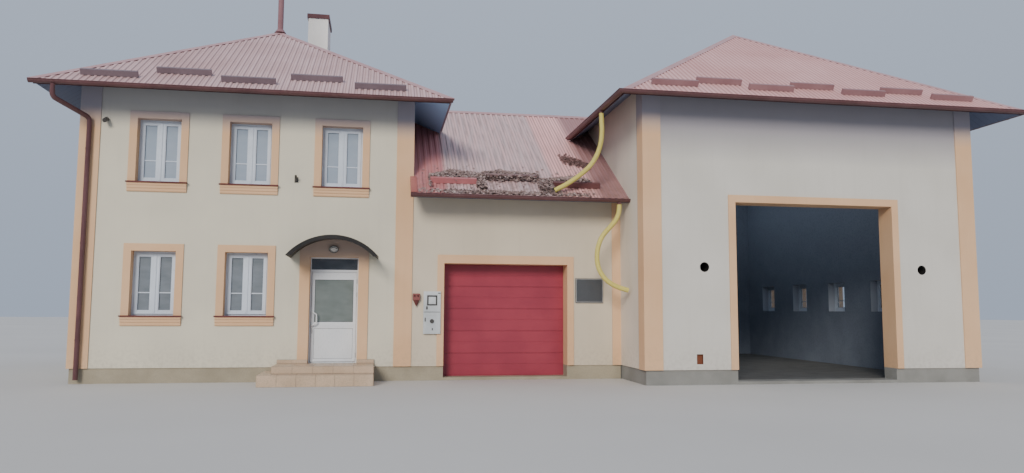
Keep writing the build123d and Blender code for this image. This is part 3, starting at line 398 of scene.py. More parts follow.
class Finish(Nodes):
    """A material whose colour is laid on coat by coat."""

    def __init__(self, name, roughness, ior=1.5):
        self.material = bpy.data.materials.new(name)
        self.material.use_nodes = True
        self.material.node_tree.nodes.clear()
        super().__init__(self.material.node_tree)
        self.shader = self.add("BsdfPrincipled", {"Roughness": roughness, "IOR": ior})
        self.add("OutputMaterial", {"Surface": self.shader.outputs[0]})

    def blotched(self, size, base, patch, detail=3):
        """Starts with two near tones of one colour, in soft blots of a size."""
        self.colour = self.mixed(self.clouds(size, detail=detail), linear(base), linear(patch))

    def over(self, pattern, share, code):
        """Lays a colour over the one so far where a pattern is strong, by at most a share."""
        self.colour = self.mixed(self.product(pattern, share), self.colour, linear(code))

    def link(self, value, name):
        self.tree.links.new(value, self.shader.inputs[name])

    def finished(self, height=None, depth=0.0):
        """Links the colour, and a height pattern that raises the surface by up to a depth."""
        self.link(self.colour, "Base Color")
        if height is not None:
            bump = self.add("Bump", {"Height": height, "Distance": depth, "Strength": 1.0})
            self.link(bump.outputs[0], "Normal")
        return self.material


def coat(node, material):
    """Gives a piece of the frame a finish."""
    piece = frame["nodes"][node]
    if not piece.material_slots:
        piece.data.materials.append(None)
    for place in piece.material_slots:
        place.material = material


def coat_new(piece, material):
    """Gives a new piece a finish."""
    piece.data.materials.clear()
    piece.data.materials.append(material)


# %% [markdown]
# ## Wall render
#
# The walls have a coloured thin-coat render on insulation boards, rubbed with a plastic
# float so that its 1.5 mm grit leaves a fine, matt, slightly pitted face. The grit is too
# fine for a picture of a whole building, so it is drawn at 5 mm. Over it lie cloudy patches
# from the day's working, faint streaks where rain runs, and mud splashed up from the ground.
# A blue-grey band of painted shade darkens the strip under the eaves.

# %% Render finish
inner_height, inner_margin = 6.5, 0.20
entrance_head, splashed_foot = (2.45, 2.85), (0.25, 0.95)
render_rooms = (
    ((inner_margin, inner_margin, 0.1),
     (house_width - inner_margin, house_depth - inner_margin, inner_height)),
    ((hall_left + inner_margin, hall_front + wall, 0.1),
     (hall_right - inner_margin, hall_back - inner_margin, inner_height)))


def wall_render(name, base, patch, splash=0.25, head=None, eaves=None):
    """Float render outside; where a reveal turns into a room it changes to limewash.

    head is the painted shade of the canopy above the entrance's door. eaves holds the two
    heights between which painted shade darkens the wall under the eaves, its share and its tone.
    """
    dirt = "#8f8474"
    finish = Finish(name, 0.92)
    height = finish.axis(2)
    finish.blotched(1.3, base, patch)
    # painted shade of the canopy on the wall above the entrance's door
    if head:
        finish.over(finish.ramp(height, *entrance_head), 1, head)
    # painted shade: a blue-grey band darkens the wall towards the eaves
    if eaves:
        start, end, share, tone = eaves
        finish.over(finish.ramp(height, start, end), share, tone)
    for low, high in render_rooms:
        finish.over(finish.inside(low, high), 1, "#aab1bc")
    streaks = finish.clouds(0.10, 0.52, 0.78, stretch=(1, 1, 14))
    finish.over(streaks, 0.05, dirt)
    grit = finish.clouds(0.005, 0.3, 0.7, detail=2)
    finish.over(grit, 0.06, dirt)
    splashed = finish.ramp(height, *splashed_foot, 1.0, 0.0)
    spots = finish.clouds(0.07, 0.42, 0.68, detail=8)
    finish.over(finish.product(splashed, spots), splash, dirt)
    return finish.finished(grit, 0.0012)


# the cream and peach renders carry painted shade under the eaves
cream_render = wall_render("cream_float_render", "#d6d0bd", "#cfc9b7",
                           eaves=(5.4, 5.95, 0.5, "#8f93a5"))
peach_render = wall_render("peach_float_render", "#deb791", "#d8af88", splash=0.2,
                           eaves=(5.35, 5.85, 0.85, "#8f93a5"))
# the door surround's render, with painted canopy shade above the door
canopy_shaded_render = wall_render("canopy_shaded_peach_float_render", "#deb791", "#d8af88", splash=0.2,
                               head="#bfaa9d")
warm_render = wall_render("warm_cream_float_render", "#d0c4b0", "#c9bdaa")
# painted light: the hall's left wall is coloured lighter, standing in for sun it gets too little of
side_painted_light_render = wall_render("painted_light_side_float_render", "#e2d7c8", "#dacfc0")
chimney_render = wall_render("white_chimney_render", "#ebeae7", "#e1e0dc")
# the grey render carries painted shade under the eaves too
grey_render = wall_render("pale_grey_float_render", "#cfccc5", "#c9c6be",
                          eaves=(4.8, 5.6, 0.9, "#938f98"))
print("seven renders")

# %% [markdown]
# ## Roof sheets
#
# All three roofs carry trapezoidal steel sheet: flats with raised ribs, 128 mm apart on the
# house, 112 mm on the hall and 150 mm on the garage. Each slope starts as the zigzag of its
# eave, is extruded up the slope, tilted by a shear and cut with upright planes along the
# hips. A plane cut keeps every rib straight and ends it exactly on the hip, as the shears of
# the roofer do. The UV map holds metres along the eave and up the slope, so rain streaks can
# follow the sheet on every slope.

# %% Roof sizes
sheet_flat, rib_height = 0.006, 0.020
rib_crest, rib_foot = 0.045, 0.085
sheet_top = sheet_flat + rib_height
cap_top = sheet_top + 0.008
sheet_drip, side_drip, hip_gap = 0.040, 0.010, 0.025
house_roof = {"left": -0.720, "right": house_width + 0.790, "front": -0.790,
              "back": house_depth + 0.790, "eave": 6.155, "slope": 0.642, "pitch": 0.128}
hall_roof = {"left": hall_left - 0.610, "right": hall_right + 0.850, "front": hall_front - 0.610,
             "back": hall_back + 0.610, "eave": 6.130, "slope": 0.66, "pitch": 0.112}
garage_roof = {"front": -0.680, "back": house_depth + 0.680, "eave": 4.085, "slope": 0.6586,
               "pitch": 0.150}
garage_run = (garage_roof["back"] - garage_roof["front"]) / 2
rib_profile = ((-rib_foot / 2, 0), (-rib_crest / 2, rib_height), (rib_crest / 2, rib_height),
               (rib_foot / 2, 0))
sheet_thick, chimney_gap = 0.002, 0.008


# %% One ribbed slope
def ribbed_slope(start, end, run, drip, roof):
    """Ribbed sheet whose eave runs along X from start to end and which climbs along Y."""
    slope, pitch = roof["slope"], roof["pitch"]
    bm = bmesh.new()
    count = int((end - start) / pitch)
    first = (start + end) / 2 - (count - 1) / 2 * pitch
    line = [bm.verts.new((start, -drip, 0))]
    for i in range(count):
        for offset, height in rib_profile:
            line.append(bm.verts.new((first + i * pitch + offset, -drip, height)))
    line.append(bm.verts.new((end, -drip, 0)))
    eave = [bm.edges.new(pair) for pair in zip(line, line[1:])]
    extrude_edges(bm, eave, (0, run + drip, 0))
    shear = Matrix(((1, 0, 0, 0), (0, 1, 0, 0), (0, slope, 1, sheet_flat), (0, 0, 0, 1)))
    bmesh.ops.transform(bm, matrix=shear, verts=bm.verts)
    bmesh.ops.reverse_faces(bm, faces=[face for face in bm.faces if face.normal.z < 0])
    metres = bm.loops.layers.uv.new("sheet")
    for face in bm.faces:
        for loop in face.loops:
            place = loop.vert.co
            loop[metres].uv = (place.x - first, place.y * math.hypot(1, slope))
    return bm


def cut(bm, point, normal, drop=False):
    """Cuts along a plane; drop removes what lies on the side the normal points to."""
    bmesh.ops.bisect_plane(bm, geom=bm.verts[:] + bm.edges[:] + bm.faces[:], dist=1e-6,
                           plane_co=point, plane_no=normal, clear_outer=drop)


def remove_faces(bm, test):
    """Removes the faces whose middle passes a test."""
    gone = [face for face in bm.faces if test(face.calc_center_median())]
    bmesh.ops.delete(bm, geom=gone, context="FACES")


# %% Where the garage roof and its neighbours meet
def garage_height(y, lift=0.0):
    """Height of the garage deck's top at a depth y, raised by lift."""
    near = min(y - garage_roof["front"], garage_roof["back"] - y)
    return garage_roof["eave"] + near * garage_roof["slope"] + lift


def clear_of_garage(bm, x_low, x_high):
    """Opens a hipped roof's sheet where the garage roof runs through it."""
    front, back = garage_roof["front"] - sheet_drip, garage_roof["back"] + sheet_drip
    foot = garage_height(front, cap_top)
    for y, rise in ((front, -garage_roof["slope"]), (back, garage_roof["slope"])):
        cut(bm, at(0, y, foot), (0, rise, 1))
    for y in (front, back):
        cut(bm, at(0, y), (0, 1, 0))
    for x in (x_low, x_high):
        cut(bm, at(x, 0), (1, 0, 0))

    def under_garage(place):
        x, y, z = place - house_corner
        return x_low < x < x_high and front < y < back and z < garage_height(y, cap_top)

    remove_faces(bm, under_garage)


# %% The sheets of a hipped roof
def eaves_of(roof):
    """The front, right, back and left eave: the corner each starts at, its turn and length."""
    width, length = roof["right"] - roof["left"], roof["back"] - roof["front"]
    return [(roof["left"], roof["front"], 0, width), (roof["right"], roof["front"], 90, length),
            (roof["right"], roof["back"], 180, width), (roof["left"], roof["back"], -90, length)]


def hipped_sheets(roof, drips, reach):
    """Four ribbed slopes in one mesh; reach is how far the garage roof's cut goes along X."""
    run = min(eave for *_, eave in eaves_of(roof)) / 2
    whole = bmesh.new()
    whole.loops.layers.uv.new("sheet")
    for (x, y, turn, eave), drip in zip(eaves_of(roof), drips):
        bm = ribbed_slope(-side_drip, eave + side_drip, run, drip, roof)
        for corner, side in ((0, -1), (eave, 1)):
            cut(bm, (corner - side * hip_gap, 0, 0), (side, 1, 0), drop=True)
        cut(bm, (0, run - hip_gap, 0), (0, 1, 0), drop=True)
        bmesh.ops.transform(bm, matrix=moved_to(x, y, roof["eave"], turn), verts=bm.verts)
        merge(whole, bm)
    clear_of_garage(whole, *reach)
    return whole


def sheet_piece(name, bm, node):
    """Gives the open sheet its thickness and lets it stand for the frame's sheet."""
    bmesh.ops.solidify(bm, geom=bm.faces[:], thickness=sheet_thick)
    piece = new_piece(name, bm)
    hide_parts(node)
    return piece


reach_left = house_width - house_depth / 2
reach_right = hall_left + house_depth / 2
house_sheets = hipped_sheets(house_roof, (sheet_drip, side_drip, sheet_drip, side_drip),
                             (reach_left, garage_right))
chimney_low, chimney_high = (Vector(corner) - house_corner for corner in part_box("chimney"))
chimney_low -= Vector((chimney_gap, chimney_gap, 0))
chimney_high += Vector((chimney_gap, chimney_gap, 0))
for axis in ((1, 0, 0), (0, 1, 0)):
    for corner in (chimney_low, chimney_high):
        cut(house_sheets, at(*corner), axis)


def at_chimney(place):
    x, y, _ = place - house_corner
    return chimney_low.x < x < chimney_high.x and chimney_low.y < y < chimney_high.y


remove_faces(house_sheets, at_chimney)
house_sheet = sheet_piece("house_ribbed_sheet", house_sheets, "house_roof_sheet")
hall_sheets = hipped_sheets(hall_roof, (sheet_drip,) * 4, (garage_left, reach_right))
hall_sheet = sheet_piece("hall_ribbed_sheet", hall_sheets, "hall_roof_sheet")

# %% The sheets of the garage, trimmed against both neighbours
verge_reach, wall_clear = 0.075, render_proud + 0.005


def outside_garage(place):
    """What the sheet mustn't cover: the bodies of house and hall, and past their walls."""
    x, y, z = place - house_corner
    beside_walls = not 0 < y < house_depth
    if x < garage_left:
        if -wall_clear < y < house_depth + wall_clear:
            slope_height = house_roof["eave"] + (house_roof["right"] - x) * house_roof["slope"]
            return z < slope_height or beside_walls
        return x < garage_left - verge_reach
    if x > garage_right:
        slope_height = hall_roof["eave"] + (x - hall_roof["left"]) * hall_roof["slope"]
        return z < slope_height or beside_walls
    return False


garage_sheets = bmesh.new()
garage_sheets.loops.layers.uv.new("sheet")
for start, end, y, turn in ((reach_left, reach_right, garage_roof["front"], 0),
                            (-reach_right, -reach_left, garage_roof["back"], 180)):
    bm = ribbed_slope(start, end, garage_run - hip_gap, sheet_drip, garage_roof)
    bmesh.ops.transform(bm, matrix=moved_to(0, y, garage_roof["eave"], turn), verts=bm.verts)
    merge(garage_sheets, bm)
for x in (garage_left - verge_reach, garage_left, garage_right):
    cut(garage_sheets, at(x, 0), (1, 0, 0))
for y in (-wall_clear, 0, house_depth, house_depth + wall_clear):
    cut(garage_sheets, at(0, y), (0, 1, 0))
for roof, edge, side in ((house_roof, "right", 1), (hall_roof, "left", -1)):
    cut(garage_sheets, at(roof[edge], 0, roof["eave"]), (side * roof["slope"], 0, 1))
remove_faces(garage_sheets, outside_garage)
garage_sheet = sheet_piece("garage_ribbed_sheet", garage_sheets, "garage_roof_sheet")

# %% [markdown]
# ## Roof coating
#
# The sheets are galvanised steel with a baked red coating that has chalked to a dusty pink.
# It is half matt, and it shows the slope: thin streaks run down from the ridge, each sheet
# has aged a little differently, and on the garage a broad grey bloom of dirt lies under the
# leaves while the strips beside the walls, which the neighbours shelter, kept their red.

# %% Coating of the roofs
sheet_cover = 1.06
sheltered_part, bloom_part, hall_part = (0.0, 7.72, 0.05), (7.72, 10.25, 0.05), (11.15, 16.0, 0.10)
damp_end, damp_fade = 0.45, 0.5


def roof_coating(name, faded, fresh, grime, roof, streak=0.35, foot_dirt=0.5, weather=None):
    """Chalked coating: clean rib crests, a dust line at each rib's foot, streaks down the slope."""
    finish = Finish(name, 0.55)
    uv = finish.add("UVMap", uv_map="sheet").outputs[0]
    along = finish.axis(0, uv)
    finish.blotched(1.6, faded, fresh)
    sheet = finish.worked("Math", "FLOOR", finish.worked("Math", "DIVIDE", along, sheet_cover))
    shade = finish.add("TexWhiteNoise", {"W": sheet}, noise_dimensions="1D").outputs[0]
    finish.over(shade, 0.25, fresh)
    streaks = finish.clouds(0.035, 0.45, 0.75, stretch=(1, 30, 1), where=uv)
    finish.over(streaks, streak, grime)
    from_rib = finish.worked("Math", "PINGPONG", along, roof["pitch"] / 2)
    foot = finish.ramp(from_rib, rib_foot / 2 + 0.016, rib_foot / 2 + 0.002)
    off_crest = finish.ramp(from_rib, rib_crest / 2, rib_crest / 2 + 0.006)
    finish.over(finish.product(foot, off_crest), foot_dirt, grime)
    if weather:
        weather(finish, uv, from_rib)
    return finish.finished(finish.clouds(0.12, 0.2, 0.8, detail=2), 0.0004)


def garage_weather(finish, uv, from_rib):
    """Red where the house shelters the sheet, a grey bloom, darker red by the hall, and damp."""
    across = finish.axis(0)
    sheltered, bloom, by_hall = [
        finish.zone(across, house_corner.x + start, house_corner.x + end, soft)
        for start, end, soft in (sheltered_part, bloom_part, hall_part)]
    finish.over(sheltered, 0.85, "#b8787a")
    in_flat = finish.ramp(from_rib, rib_crest / 2, rib_foot / 2)
    long_streaks = finish.clouds(0.11, 0.30, 0.70, detail=6, stretch=(1, 9, 1), where=uv)
    finish.over(finish.ramp(long_streaks, 0, 1, 0.45, 0.85), bloom, "#bbacae")
    dark_streaks = finish.clouds(0.06, 0.42, 0.62, detail=5, stretch=(1, 14, 1), where=uv)
    dark_streaks = finish.product(finish.product(bloom, in_flat), dark_streaks)
    finish.over(dark_streaks, 0.5, "#766663")
    finish.over(by_hall, 0.85, "#8f6b6b")
    damp_height = garage_height(damp_end)
    near_eave = finish.ramp(finish.axis(2), damp_height, damp_height - damp_fade)
    damp = finish.clouds(0.16, 0.35, 0.75, detail=7)
    finish.over(finish.product(near_eave, damp), 0.55, "#6d5549")


coat_new(house_sheet, roof_coating(
    "faded_pink_roof_coating", "#d1b4b6", "#bf9d9c", "#8f7372", house_roof))
coat_new(hall_sheet, roof_coating(
    "rose_roof_coating", "#dcb1b0", "#d0a19f", "#946a68", hall_roof, streak=0.2))
coat_new(garage_sheet, roof_coating(
    "weathered_garage_roof_coating", "#f2bfbd", "#e6b1af", "#7d5f5b", garage_roof,
    foot_dirt=0.6, weather=garage_weather))

# %% Plain coated steel, used for caps, guards, gutters, sills and flashings
def coated_steel(name, base, patch, dust, roughness=0.45):
    """A coat of paint on sheet: cloudy, thinly dusted and a little wavy."""
    finish = Finish(name, roughness)
    dusty = finish.clouds(0.05, 0.5, 0.8, detail=8, stretch=(1, 1, 3))
    finish.blotched(0.6, base, patch, detail=4)
    finish.over(dusty, 0.2, dust)
    finish.link(finish.ramp(dusty, 0, 1, roughness, roughness + 0.2), "Roughness")
    return finish.finished(finish.clouds(0.15, 0.2, 0.8, detail=2), 0.0003)


cap_steel = coated_steel("rose_cap_coating", "#b9979a", "#ad8789", "#8c7172")
guard_steel = coated_steel("snow_guard_coating", "#9c7a7c", "#8f6d70", "#6f6163")
house_guard_steel = coated_steel("greyed_snow_guard_coating", "#7b6c73", "#6f6067", "#5f5458")
clean_guard_steel = coated_steel("clean_snow_guard_coating", "#b97577", "#ad6a6c", "#7f6361")
# painted shade: a darker copy of the guard coating, for the right guard on the garage roof
shaded_guard_steel = coated_steel("painted_shade_guard_coating", "#6f4a4a", "#633f40", "#5f4b4a")
dirty_guard_steel = coated_steel("leaf_stained_guard_coating", "#8a7070", "#7d6363", "#5a4a47")
gutter_steel = coated_steel("dark_gutter_coating", "#644244", "#573739", "#87786f")
sill_steel = coated_steel("dark_red_sill_coating", "#6a3836", "#5a2c2b", "#8d7a70")
canopy_steel = coated_steel("weathered_brown_canopy_coating", "#2c2926", "#25221f", "#5f5950")
mast_steel = coated_steel("red_brown_mast_paint", "#8f6a6e", "#825d61", "#a99a95")
door_coating = coated_steel("red_door_coating", "#993c4a", "#8e3645", "#85434c", roughness=0.4)
zinc = coated_steel("dark_zinc_fitting", "#4a4744", "#3d3a38", "#6d6862", roughness=0.4)
alarm_paint = coated_steel("red_brown_alarm_paint", "#8a5550", "#7c4a46", "#5d3532")
fresh_red = coated_steel("fresh_red_flashing", "#ac6c67", "#a2625d", "#8b605b", roughness=0.38)

# %% [markdown]
# ## White plastic, glass and mineral finishes
#
# Window frames and the door are extruded PVC: smooth, white with a cold tint and a low gloss.
# The panes are float glass. Drawn blinds behind them make them pale and nearly opaque, a
# little darker on the ground floor; their blue-grey is partly painted sky reflection. Only the
# hall's panes let the light through. Concrete, base coat, limewash, tile and rubber are cloudy,
# grained and matt.

# %% Moulded and extruded plastics
def plastic(name, base, patch, roughness=0.35, dirt="#8b867c", dirty=0.25):
    """Smooth moulding with a little grime that has run down it."""
    finish = Finish(name, roughness, ior=1.53)
    grime = finish.clouds(0.02, 0.55, 0.8, detail=6, stretch=(1, 1, 4))
    finish.blotched(0.5, base, patch)
    finish.over(grime, dirty, dirt)
    finish.link(finish.ramp(grime, 0, 1, roughness, roughness + 0.25), "Roughness")
    return finish.finished(finish.clouds(0.01, 0.2, 0.8, detail=2), 0.0001)


frame_plastic = plastic("cold_white_pvc_extrusion", "#d0d9e5", "#c8d1dd")
door_plastic = plastic("white_door_pvc", "#dcdfe3", "#d4d8dd")
lamp_plastic = plastic("white_lamp_moulding", "#f4f1ea", "#ebe7de")
grey_plastic = plastic("light_grey_cabinet_moulding", "#cbd0d2", "#b4b9bc", roughness=0.5)
camera_plastic = plastic("off_white_camera_housing", "#cfd0cd", "#c2c3c0")
hose_plastic = plastic("pale_yellow_drain_pipe_plastic", "#d9ce7a", "#d0c46c", roughness=0.5,
                       dirt="#a39a68", dirty=0.45)


# %% Glass of the panes
between_storeys, white_film = (3.0, 3.4), 0.22


def pane_glass(name, downstairs, upstairs, roughness, through):
    """Float glass over drawn blinds, whose tone is partly painted sky reflection; through is
    the share of light that passes it.
    """
    finish = Finish(name, roughness, ior=1.52)
    finish.colour = linear(downstairs)
    # the paler blue-grey of the upper panes is partly painted sky reflection
    finish.over(finish.ramp(finish.axis(2), *between_storeys), 1, upstairs)
    film = finish.clouds(0.35, 0.3, 0.8, detail=5, stretch=(1, 1, 0.5))
    finish.over(film, white_film, "#c0c8d2")
    finish.shader.inputs["Transmission Weight"].default_value = through
    return finish.finished()


window_glass = pane_glass("blinds_and_painted_sky_float_glass", "#717980", "#9dabbc", 0.04, 0.12)
hall_glass = pane_glass("clear_hall_glass", "#e6ecf0", "#e6ecf0", 0.03, 0.92)
transom_tint = pane_glass("dark_transom_glass", "#3c434c", "#3c434c", 0.04, 0.5)
door_glass = pane_glass("obscured_door_glass", "#77827e", "#77827e", 0.30, 0.30)


# %% Mineral finishes and rubber
cleaner_from, cleaner_to = 2.4, 4.6


def mineral(name, base, patch, grain, depth, roughness=0.9, dark="#77716a", share=0.4, high=None):
    """Cloudy and grained, with dark spots by up to a share, and a cleaner tone high up."""
    finish = Finish(name, roughness)
    finish.blotched(0.5, base, patch, detail=6)
    if high:
        finish.over(finish.ramp(finish.axis(2), cleaner_from, cleaner_to), 1, high)
    finish.over(finish.clouds(grain, 0.45, 0.75, detail=6), share, dark)
    return finish.finished(finish.clouds(grain, 0.3, 0.7, detail=6), depth)


plinth_coat = mineral("grey_base_coat", "#8d8d89", "#7f7f7b", 0.012, 0.002)
beige_base_coat = mineral("beige_base_coat", "#a39a86", "#948b78", 0.012, 0.002)
floor_concrete = mineral("trowelled_concrete", "#5f605f", "#525352", 0.02, 0.0008)
limewash = mineral("pale_blue_limewash", "#d8e0ee", "#ccd5e5", 0.03, 0.0006, dark="#7f8794",
                   share=0.3)
exhaust_wall = mineral("exhaust_grey_limewash", "#7e8795", "#757d8b", 0.03, 0.0006,
                       dark="#555b66", high="#9ba4b3")
brick = mineral("broken_brick", "#8d5b44", "#7a4a37", 0.015, 0.004, dark="#5a3a2e")
soot = mineral("sooted_sleeve", "#2a2827", "#1f1e1d", 0.02, 0.0005, dark="#151414")
step_tile = mineral("beige_step_tile", "#c6ae95", "#b9a188", 0.02, 0.0003, roughness=0.42)
tile_bed = mineral("grey_tile_joint", "#8f887e", "#837c73", 0.008, 0.0006)
plaque_stone = mineral("dark_plaque_face", "#4d5054", "#44474b", 0.01, 0.0002, roughness=0.3,
                       dark="#3a3c3f")
black_rubber = mineral("black_rubber_gasket", "#2b2c2d", "#232425", 0.005, 0.0002,
                       roughness=0.7, dark="#191a1a")
grey_rubber = mineral("grey_rubber_gasket", "#5b5f63", "#505458", 0.005, 0.0002,
                      roughness=0.7, dark="#3a3d40")


# %% Boards under the eaves, grey-blue outside and limewashed in the hall
board, open_joint, painted_light_end, room_edge = 0.095, 0.006, hall_left - 0.7, 0.40


def soffit_boards():
    """Boards that run along X, with an open joint between two of them.

    Those over the garage roof are pale blue: painted light, lighter than the shade leaves them.
    """
    finish = Finish("blue_grey_soffit_boards", 0.75)
    grain = finish.clouds(0.02, 0.3, 0.8, detail=6, stretch=(12, 1, 1))
    finish.colour = linear("#66708a")
    finish.over(grain, 0.35, "#58627c")
    # painted light: the boards of the house's right eave, over the garage roof, are lightened to
    # pale blue
    painted_light_boards = finish.inside((house_width, -2, 5), (painted_light_end, house_depth + 2, 7))
    finish.over(painted_light_boards, 1, "#a8ccf4")
    step = finish.worked("Math", "PINGPONG", finish.axis(1), board)
    gap = finish.ramp(step, 0.0, open_joint, 1.0, 0.0)
    finish.over(gap, 0.8, "#333946")
    in_hall = finish.inside((hall_left + room_edge, hall_front + room_edge, 0),
                            (hall_right - room_edge, hall_back - room_edge, 9.9))
    finish.over(in_hall, 1, "#ccd5e5")
    return finish.finished(gap, 0.004)


# %% Every piece of the frame gets its finish
coats = {
    "render_cream": cream_render, "render_grey": grey_render, "render_peach": peach_render,
    "plinth_grey": plinth_coat, "concrete": floor_concrete, "tile": tile_bed,
    "roof_timber": soffit_boards(), "roof_red": cap_steel, "gutter_brown": gutter_steel,
    "sill_red": sill_steel, "door_red": door_coating, "pvc_white": frame_plastic,
    "glass": window_glass, "white_metal": camera_plastic, "steel": zinc, "mast_grey": mast_steel,
    "canopy_metal": canopy_steel, "plastic_white": lamp_plastic, "plastic_grey": grey_plastic,
    "hose_yellow": hose_plastic}
for part in frame["record"]["subparts"]:
    coat(part["node"], coats[part["material_slot"]])
for material, nodes in (
        (door_glass, ["door_glass"]), (guard_steel, ["snow_guards"]),
        (warm_render, ["garage_front_wall", "garage_back_wall"]),
        (side_painted_light_render, ["hall_left_wall"]), (chimney_render, ["chimney"]),
        (door_plastic, ["door_leaf", "entrance_frame", "door_handle"]),
        (beige_base_coat, ["house_plinth", "garage_plinth"]),
        (plaque_stone, ["wall_plaque"]), (zinc, ["security_camera"])):
    for node in nodes:
        coat(node, material)
for tube in hoses:
    coat_new(tube, hose_plastic)


# %% Reveals in the colour of the bands, rooms in limewash, worn places and painted shade in their own tone
def paint_faces(node, material, chosen):
    """Gives the faces of a piece of the frame that pass a test another finish."""
    piece = frame["nodes"][node]
    piece.data.materials.append(material)
    turn = piece.matrix_world.to_3x3()
    count = 0
    for face in piece.data.polygons:
        normal = (turn @ face.normal).normalized()
        place = piece.matrix_world @ face.center - house_corner + normal * 0.02
        if chosen(place):
            face.material_index = len(piece.data.materials) - 1
            count += 1
    print(node, count, "faces of", material.name)


def within(low, high):
    """A test whether a place on the drawing is in the box between two corners."""
    return lambda place: all(a < b < c for a, b, c in zip(low, place, high))


def body_box(left, right, front, back, margin, top):
    """The test for a box a margin inside the outline of one part of the building."""
    return within((left + margin, front + margin, 0), (right - margin, back - margin, top))


skin, wall_top, garage_wall_top, over_all, deck_edge = 0.001, 6.3, 3.9, 20, 0.01
house_plan = (0, house_width, 0, house_depth)
hall_plan = (hall_left, hall_right, hall_front, hall_back)
hall_room = body_box(*hall_plan, wall, over_all)
house_walls = ("house_front_wall_left", "house_front_wall_right", "house_door_lintel",
               "house_front_wall_upper", "house_left_wall", "house_back_wall")
garage_walls = ("garage_front_wall", "garage_back_wall")
hall_walls = ("hall_front_pier_left", "hall_front_pier_right", "hall_gate_lintel",
              "hall_right_wall", "hall_back_wall")
for nodes, shell, room, inner in (
        (house_walls, body_box(*house_plan, skin, wall_top),
         body_box(*house_plan, wall, over_all), limewash),
        (garage_walls,
         within((garage_left, skin, 0), (garage_right, house_depth - skin, garage_wall_top)),
         within((garage_left, wall, 0), (garage_right, house_depth - wall, garage_wall_top)),
         limewash),
        (hall_walls, body_box(*hall_plan, skin, wall_top), hall_room, exhaust_wall)):
    for node in nodes:
        paint_faces(node, peach_render, lambda place: shell(place) and not room(place))
        paint_faces(node, inner, room)
for node in ("hall_left_wall", "hall_plinth"):
    paint_faces(node, exhaust_wall, hall_room)
for node, roof in (("house_roof_deck", house_roof), ("hall_roof_deck", hall_roof)):
    on_deck = within((roof["left"] - deck_edge, roof["front"] - deck_edge, 0),
                     (roof["right"] + deck_edge, roof["back"] + deck_edge, over_all))
    paint_faces(node, gutter_steel, lambda place: not on_deck(place))
behind_front, hall_inside = hall_front + skin, hall_front + wall
duct_half, duct_bottom, duct_top = 0.120, 2.38, 2.62
left_duct, right_duct = 13.164, 18.345
for node, material, low, high in (
        ("window_glass", transom_tint,
         (door_centre - 0.6, 0, 2.38), (door_centre + 0.6, 0.45, 2.72)),
        ("window_glass", hall_glass,
         (hall_left, hall_front, 0), (hall_right + 1, hall_back + 1, 4)),
        # painted canopy shade on the surround above the door
        ("door_surrounds", canopy_shaded_render,
         (door_centre - 0.9, -0.2, 0), (door_centre + 0.9, 0.3, 3.5)),
        ("snow_guards", house_guard_steel, (-1.0, -1.0, 5.8), (8.0, 2.5, 9)),
        ("snow_guards", clean_guard_steel, (7.2, -0.6, 3), (8.50, 0.20, 6)),
        ("snow_guards", dirty_guard_steel, (8.50, -0.4, 3), (9.95, 0.40, 6)),
        # the right guard on the garage roof gets painted shade
        ("snow_guards", shaded_guard_steel, (10.00, -0.6, 3), (11.40, 0.10, 6)),
        ("hall_front_pier_left", brick,
         (hall_left + 1.10, behind_front, 0.40), (hall_left + 1.32, hall_front + 0.1, 0.70)),
        ("hall_front_pier_left", soot,
         (left_duct - duct_half, behind_front, duct_bottom),
         (left_duct + duct_half, hall_inside, duct_top)),
        ("hall_front_pier_right", soot,
         (right_duct - duct_half, behind_front, duct_bottom),
         (right_duct + duct_half, hall_inside, duct_top))):
    paint_faces(node, material, within(low, high))

# %% [markdown]
# ## Windows close up
#
# A window of this kind is two welded plastic frames, one in the other. A bead clips each
# pane in, a black gasket seals it, a cover strip hides the gap where the two leaves meet, and
# one slim bar crosses each pane at a third of its height. All of that is straight extrusion,
# so it is made of plain strips, set once on every window of the building.

# %% Where the windows are
reveal, frame_side, mullion = 0.180, 0.100, 0.160
front_shares = (0.2237, 0.4932, 0.7733)
front = moved_to(0, 0)
house_left_face = moved_to(0, house_depth, turn=-90)
house_back_face = moved_to(house_width, house_depth, turn=180)
garage_back_face = moved_to(garage_right, house_depth, turn=180)
hall_right_face = moved_to(hall_right, hall_front, turn=90)
hall_back_face = moved_to(hall_right, hall_back, turn=180)
on_ground = (1.410, 0.890, 1.360, 2)
upstairs = (4.250, 0.890, 1.370, 2)
low_wide = (1.565, 0.800, 0.820, 1)
windows = []
for face, length, shares, kind in (
        (front, house_width, front_shares[:2], on_ground),
        (front, house_width, front_shares, upstairs),
        (house_left_face, house_depth, (0.26, 0.74), on_ground),
        (house_left_face, house_depth, (0.26, 0.74), upstairs),
        (house_back_face, house_width, front_shares, on_ground),
        (house_back_face, house_width, front_shares, upstairs),
        (garage_back_face, garage_width, (0.291, 0.706), on_ground),
        (hall_right_face, hall_depth, (0.2664, 0.4533, 0.6402, 0.8271), low_wide),
        (hall_back_face, hall_width, (0.329, 0.671), low_wide)):
    windows += [(face, length * share, *kind) for share in shares]
print(len(windows), "windows")


# %% Beads, gaskets, cover strips and bars
def face_box(bm, face, low, high, rounded=0.0):
    """A block given in a wall's own directions: along it, into it and up."""
    verts = add_box(bm, low, high)
    bmesh.ops.transform(bm, matrix=face, verts=verts)
    if rounded:
        round_edges(bm, verts, rounded)


def strips_round(bm, face, x0, x1, z0, z1, width, y0, y1):
    """Four strips just inside the edges of a rectangle."""
    for low, high in (((x0, y0, z0), (x0 + width, y1, z1)), ((x1 - width, y0, z0), (x1, y1, z1)),
                      ((x0 + width, y0, z0), (x1 - width, y1, z0 + width)),
                      ((x0 + width, y0, z1 - width), (x1 - width, y1, z1))):
        face_box(bm, face, low, high)


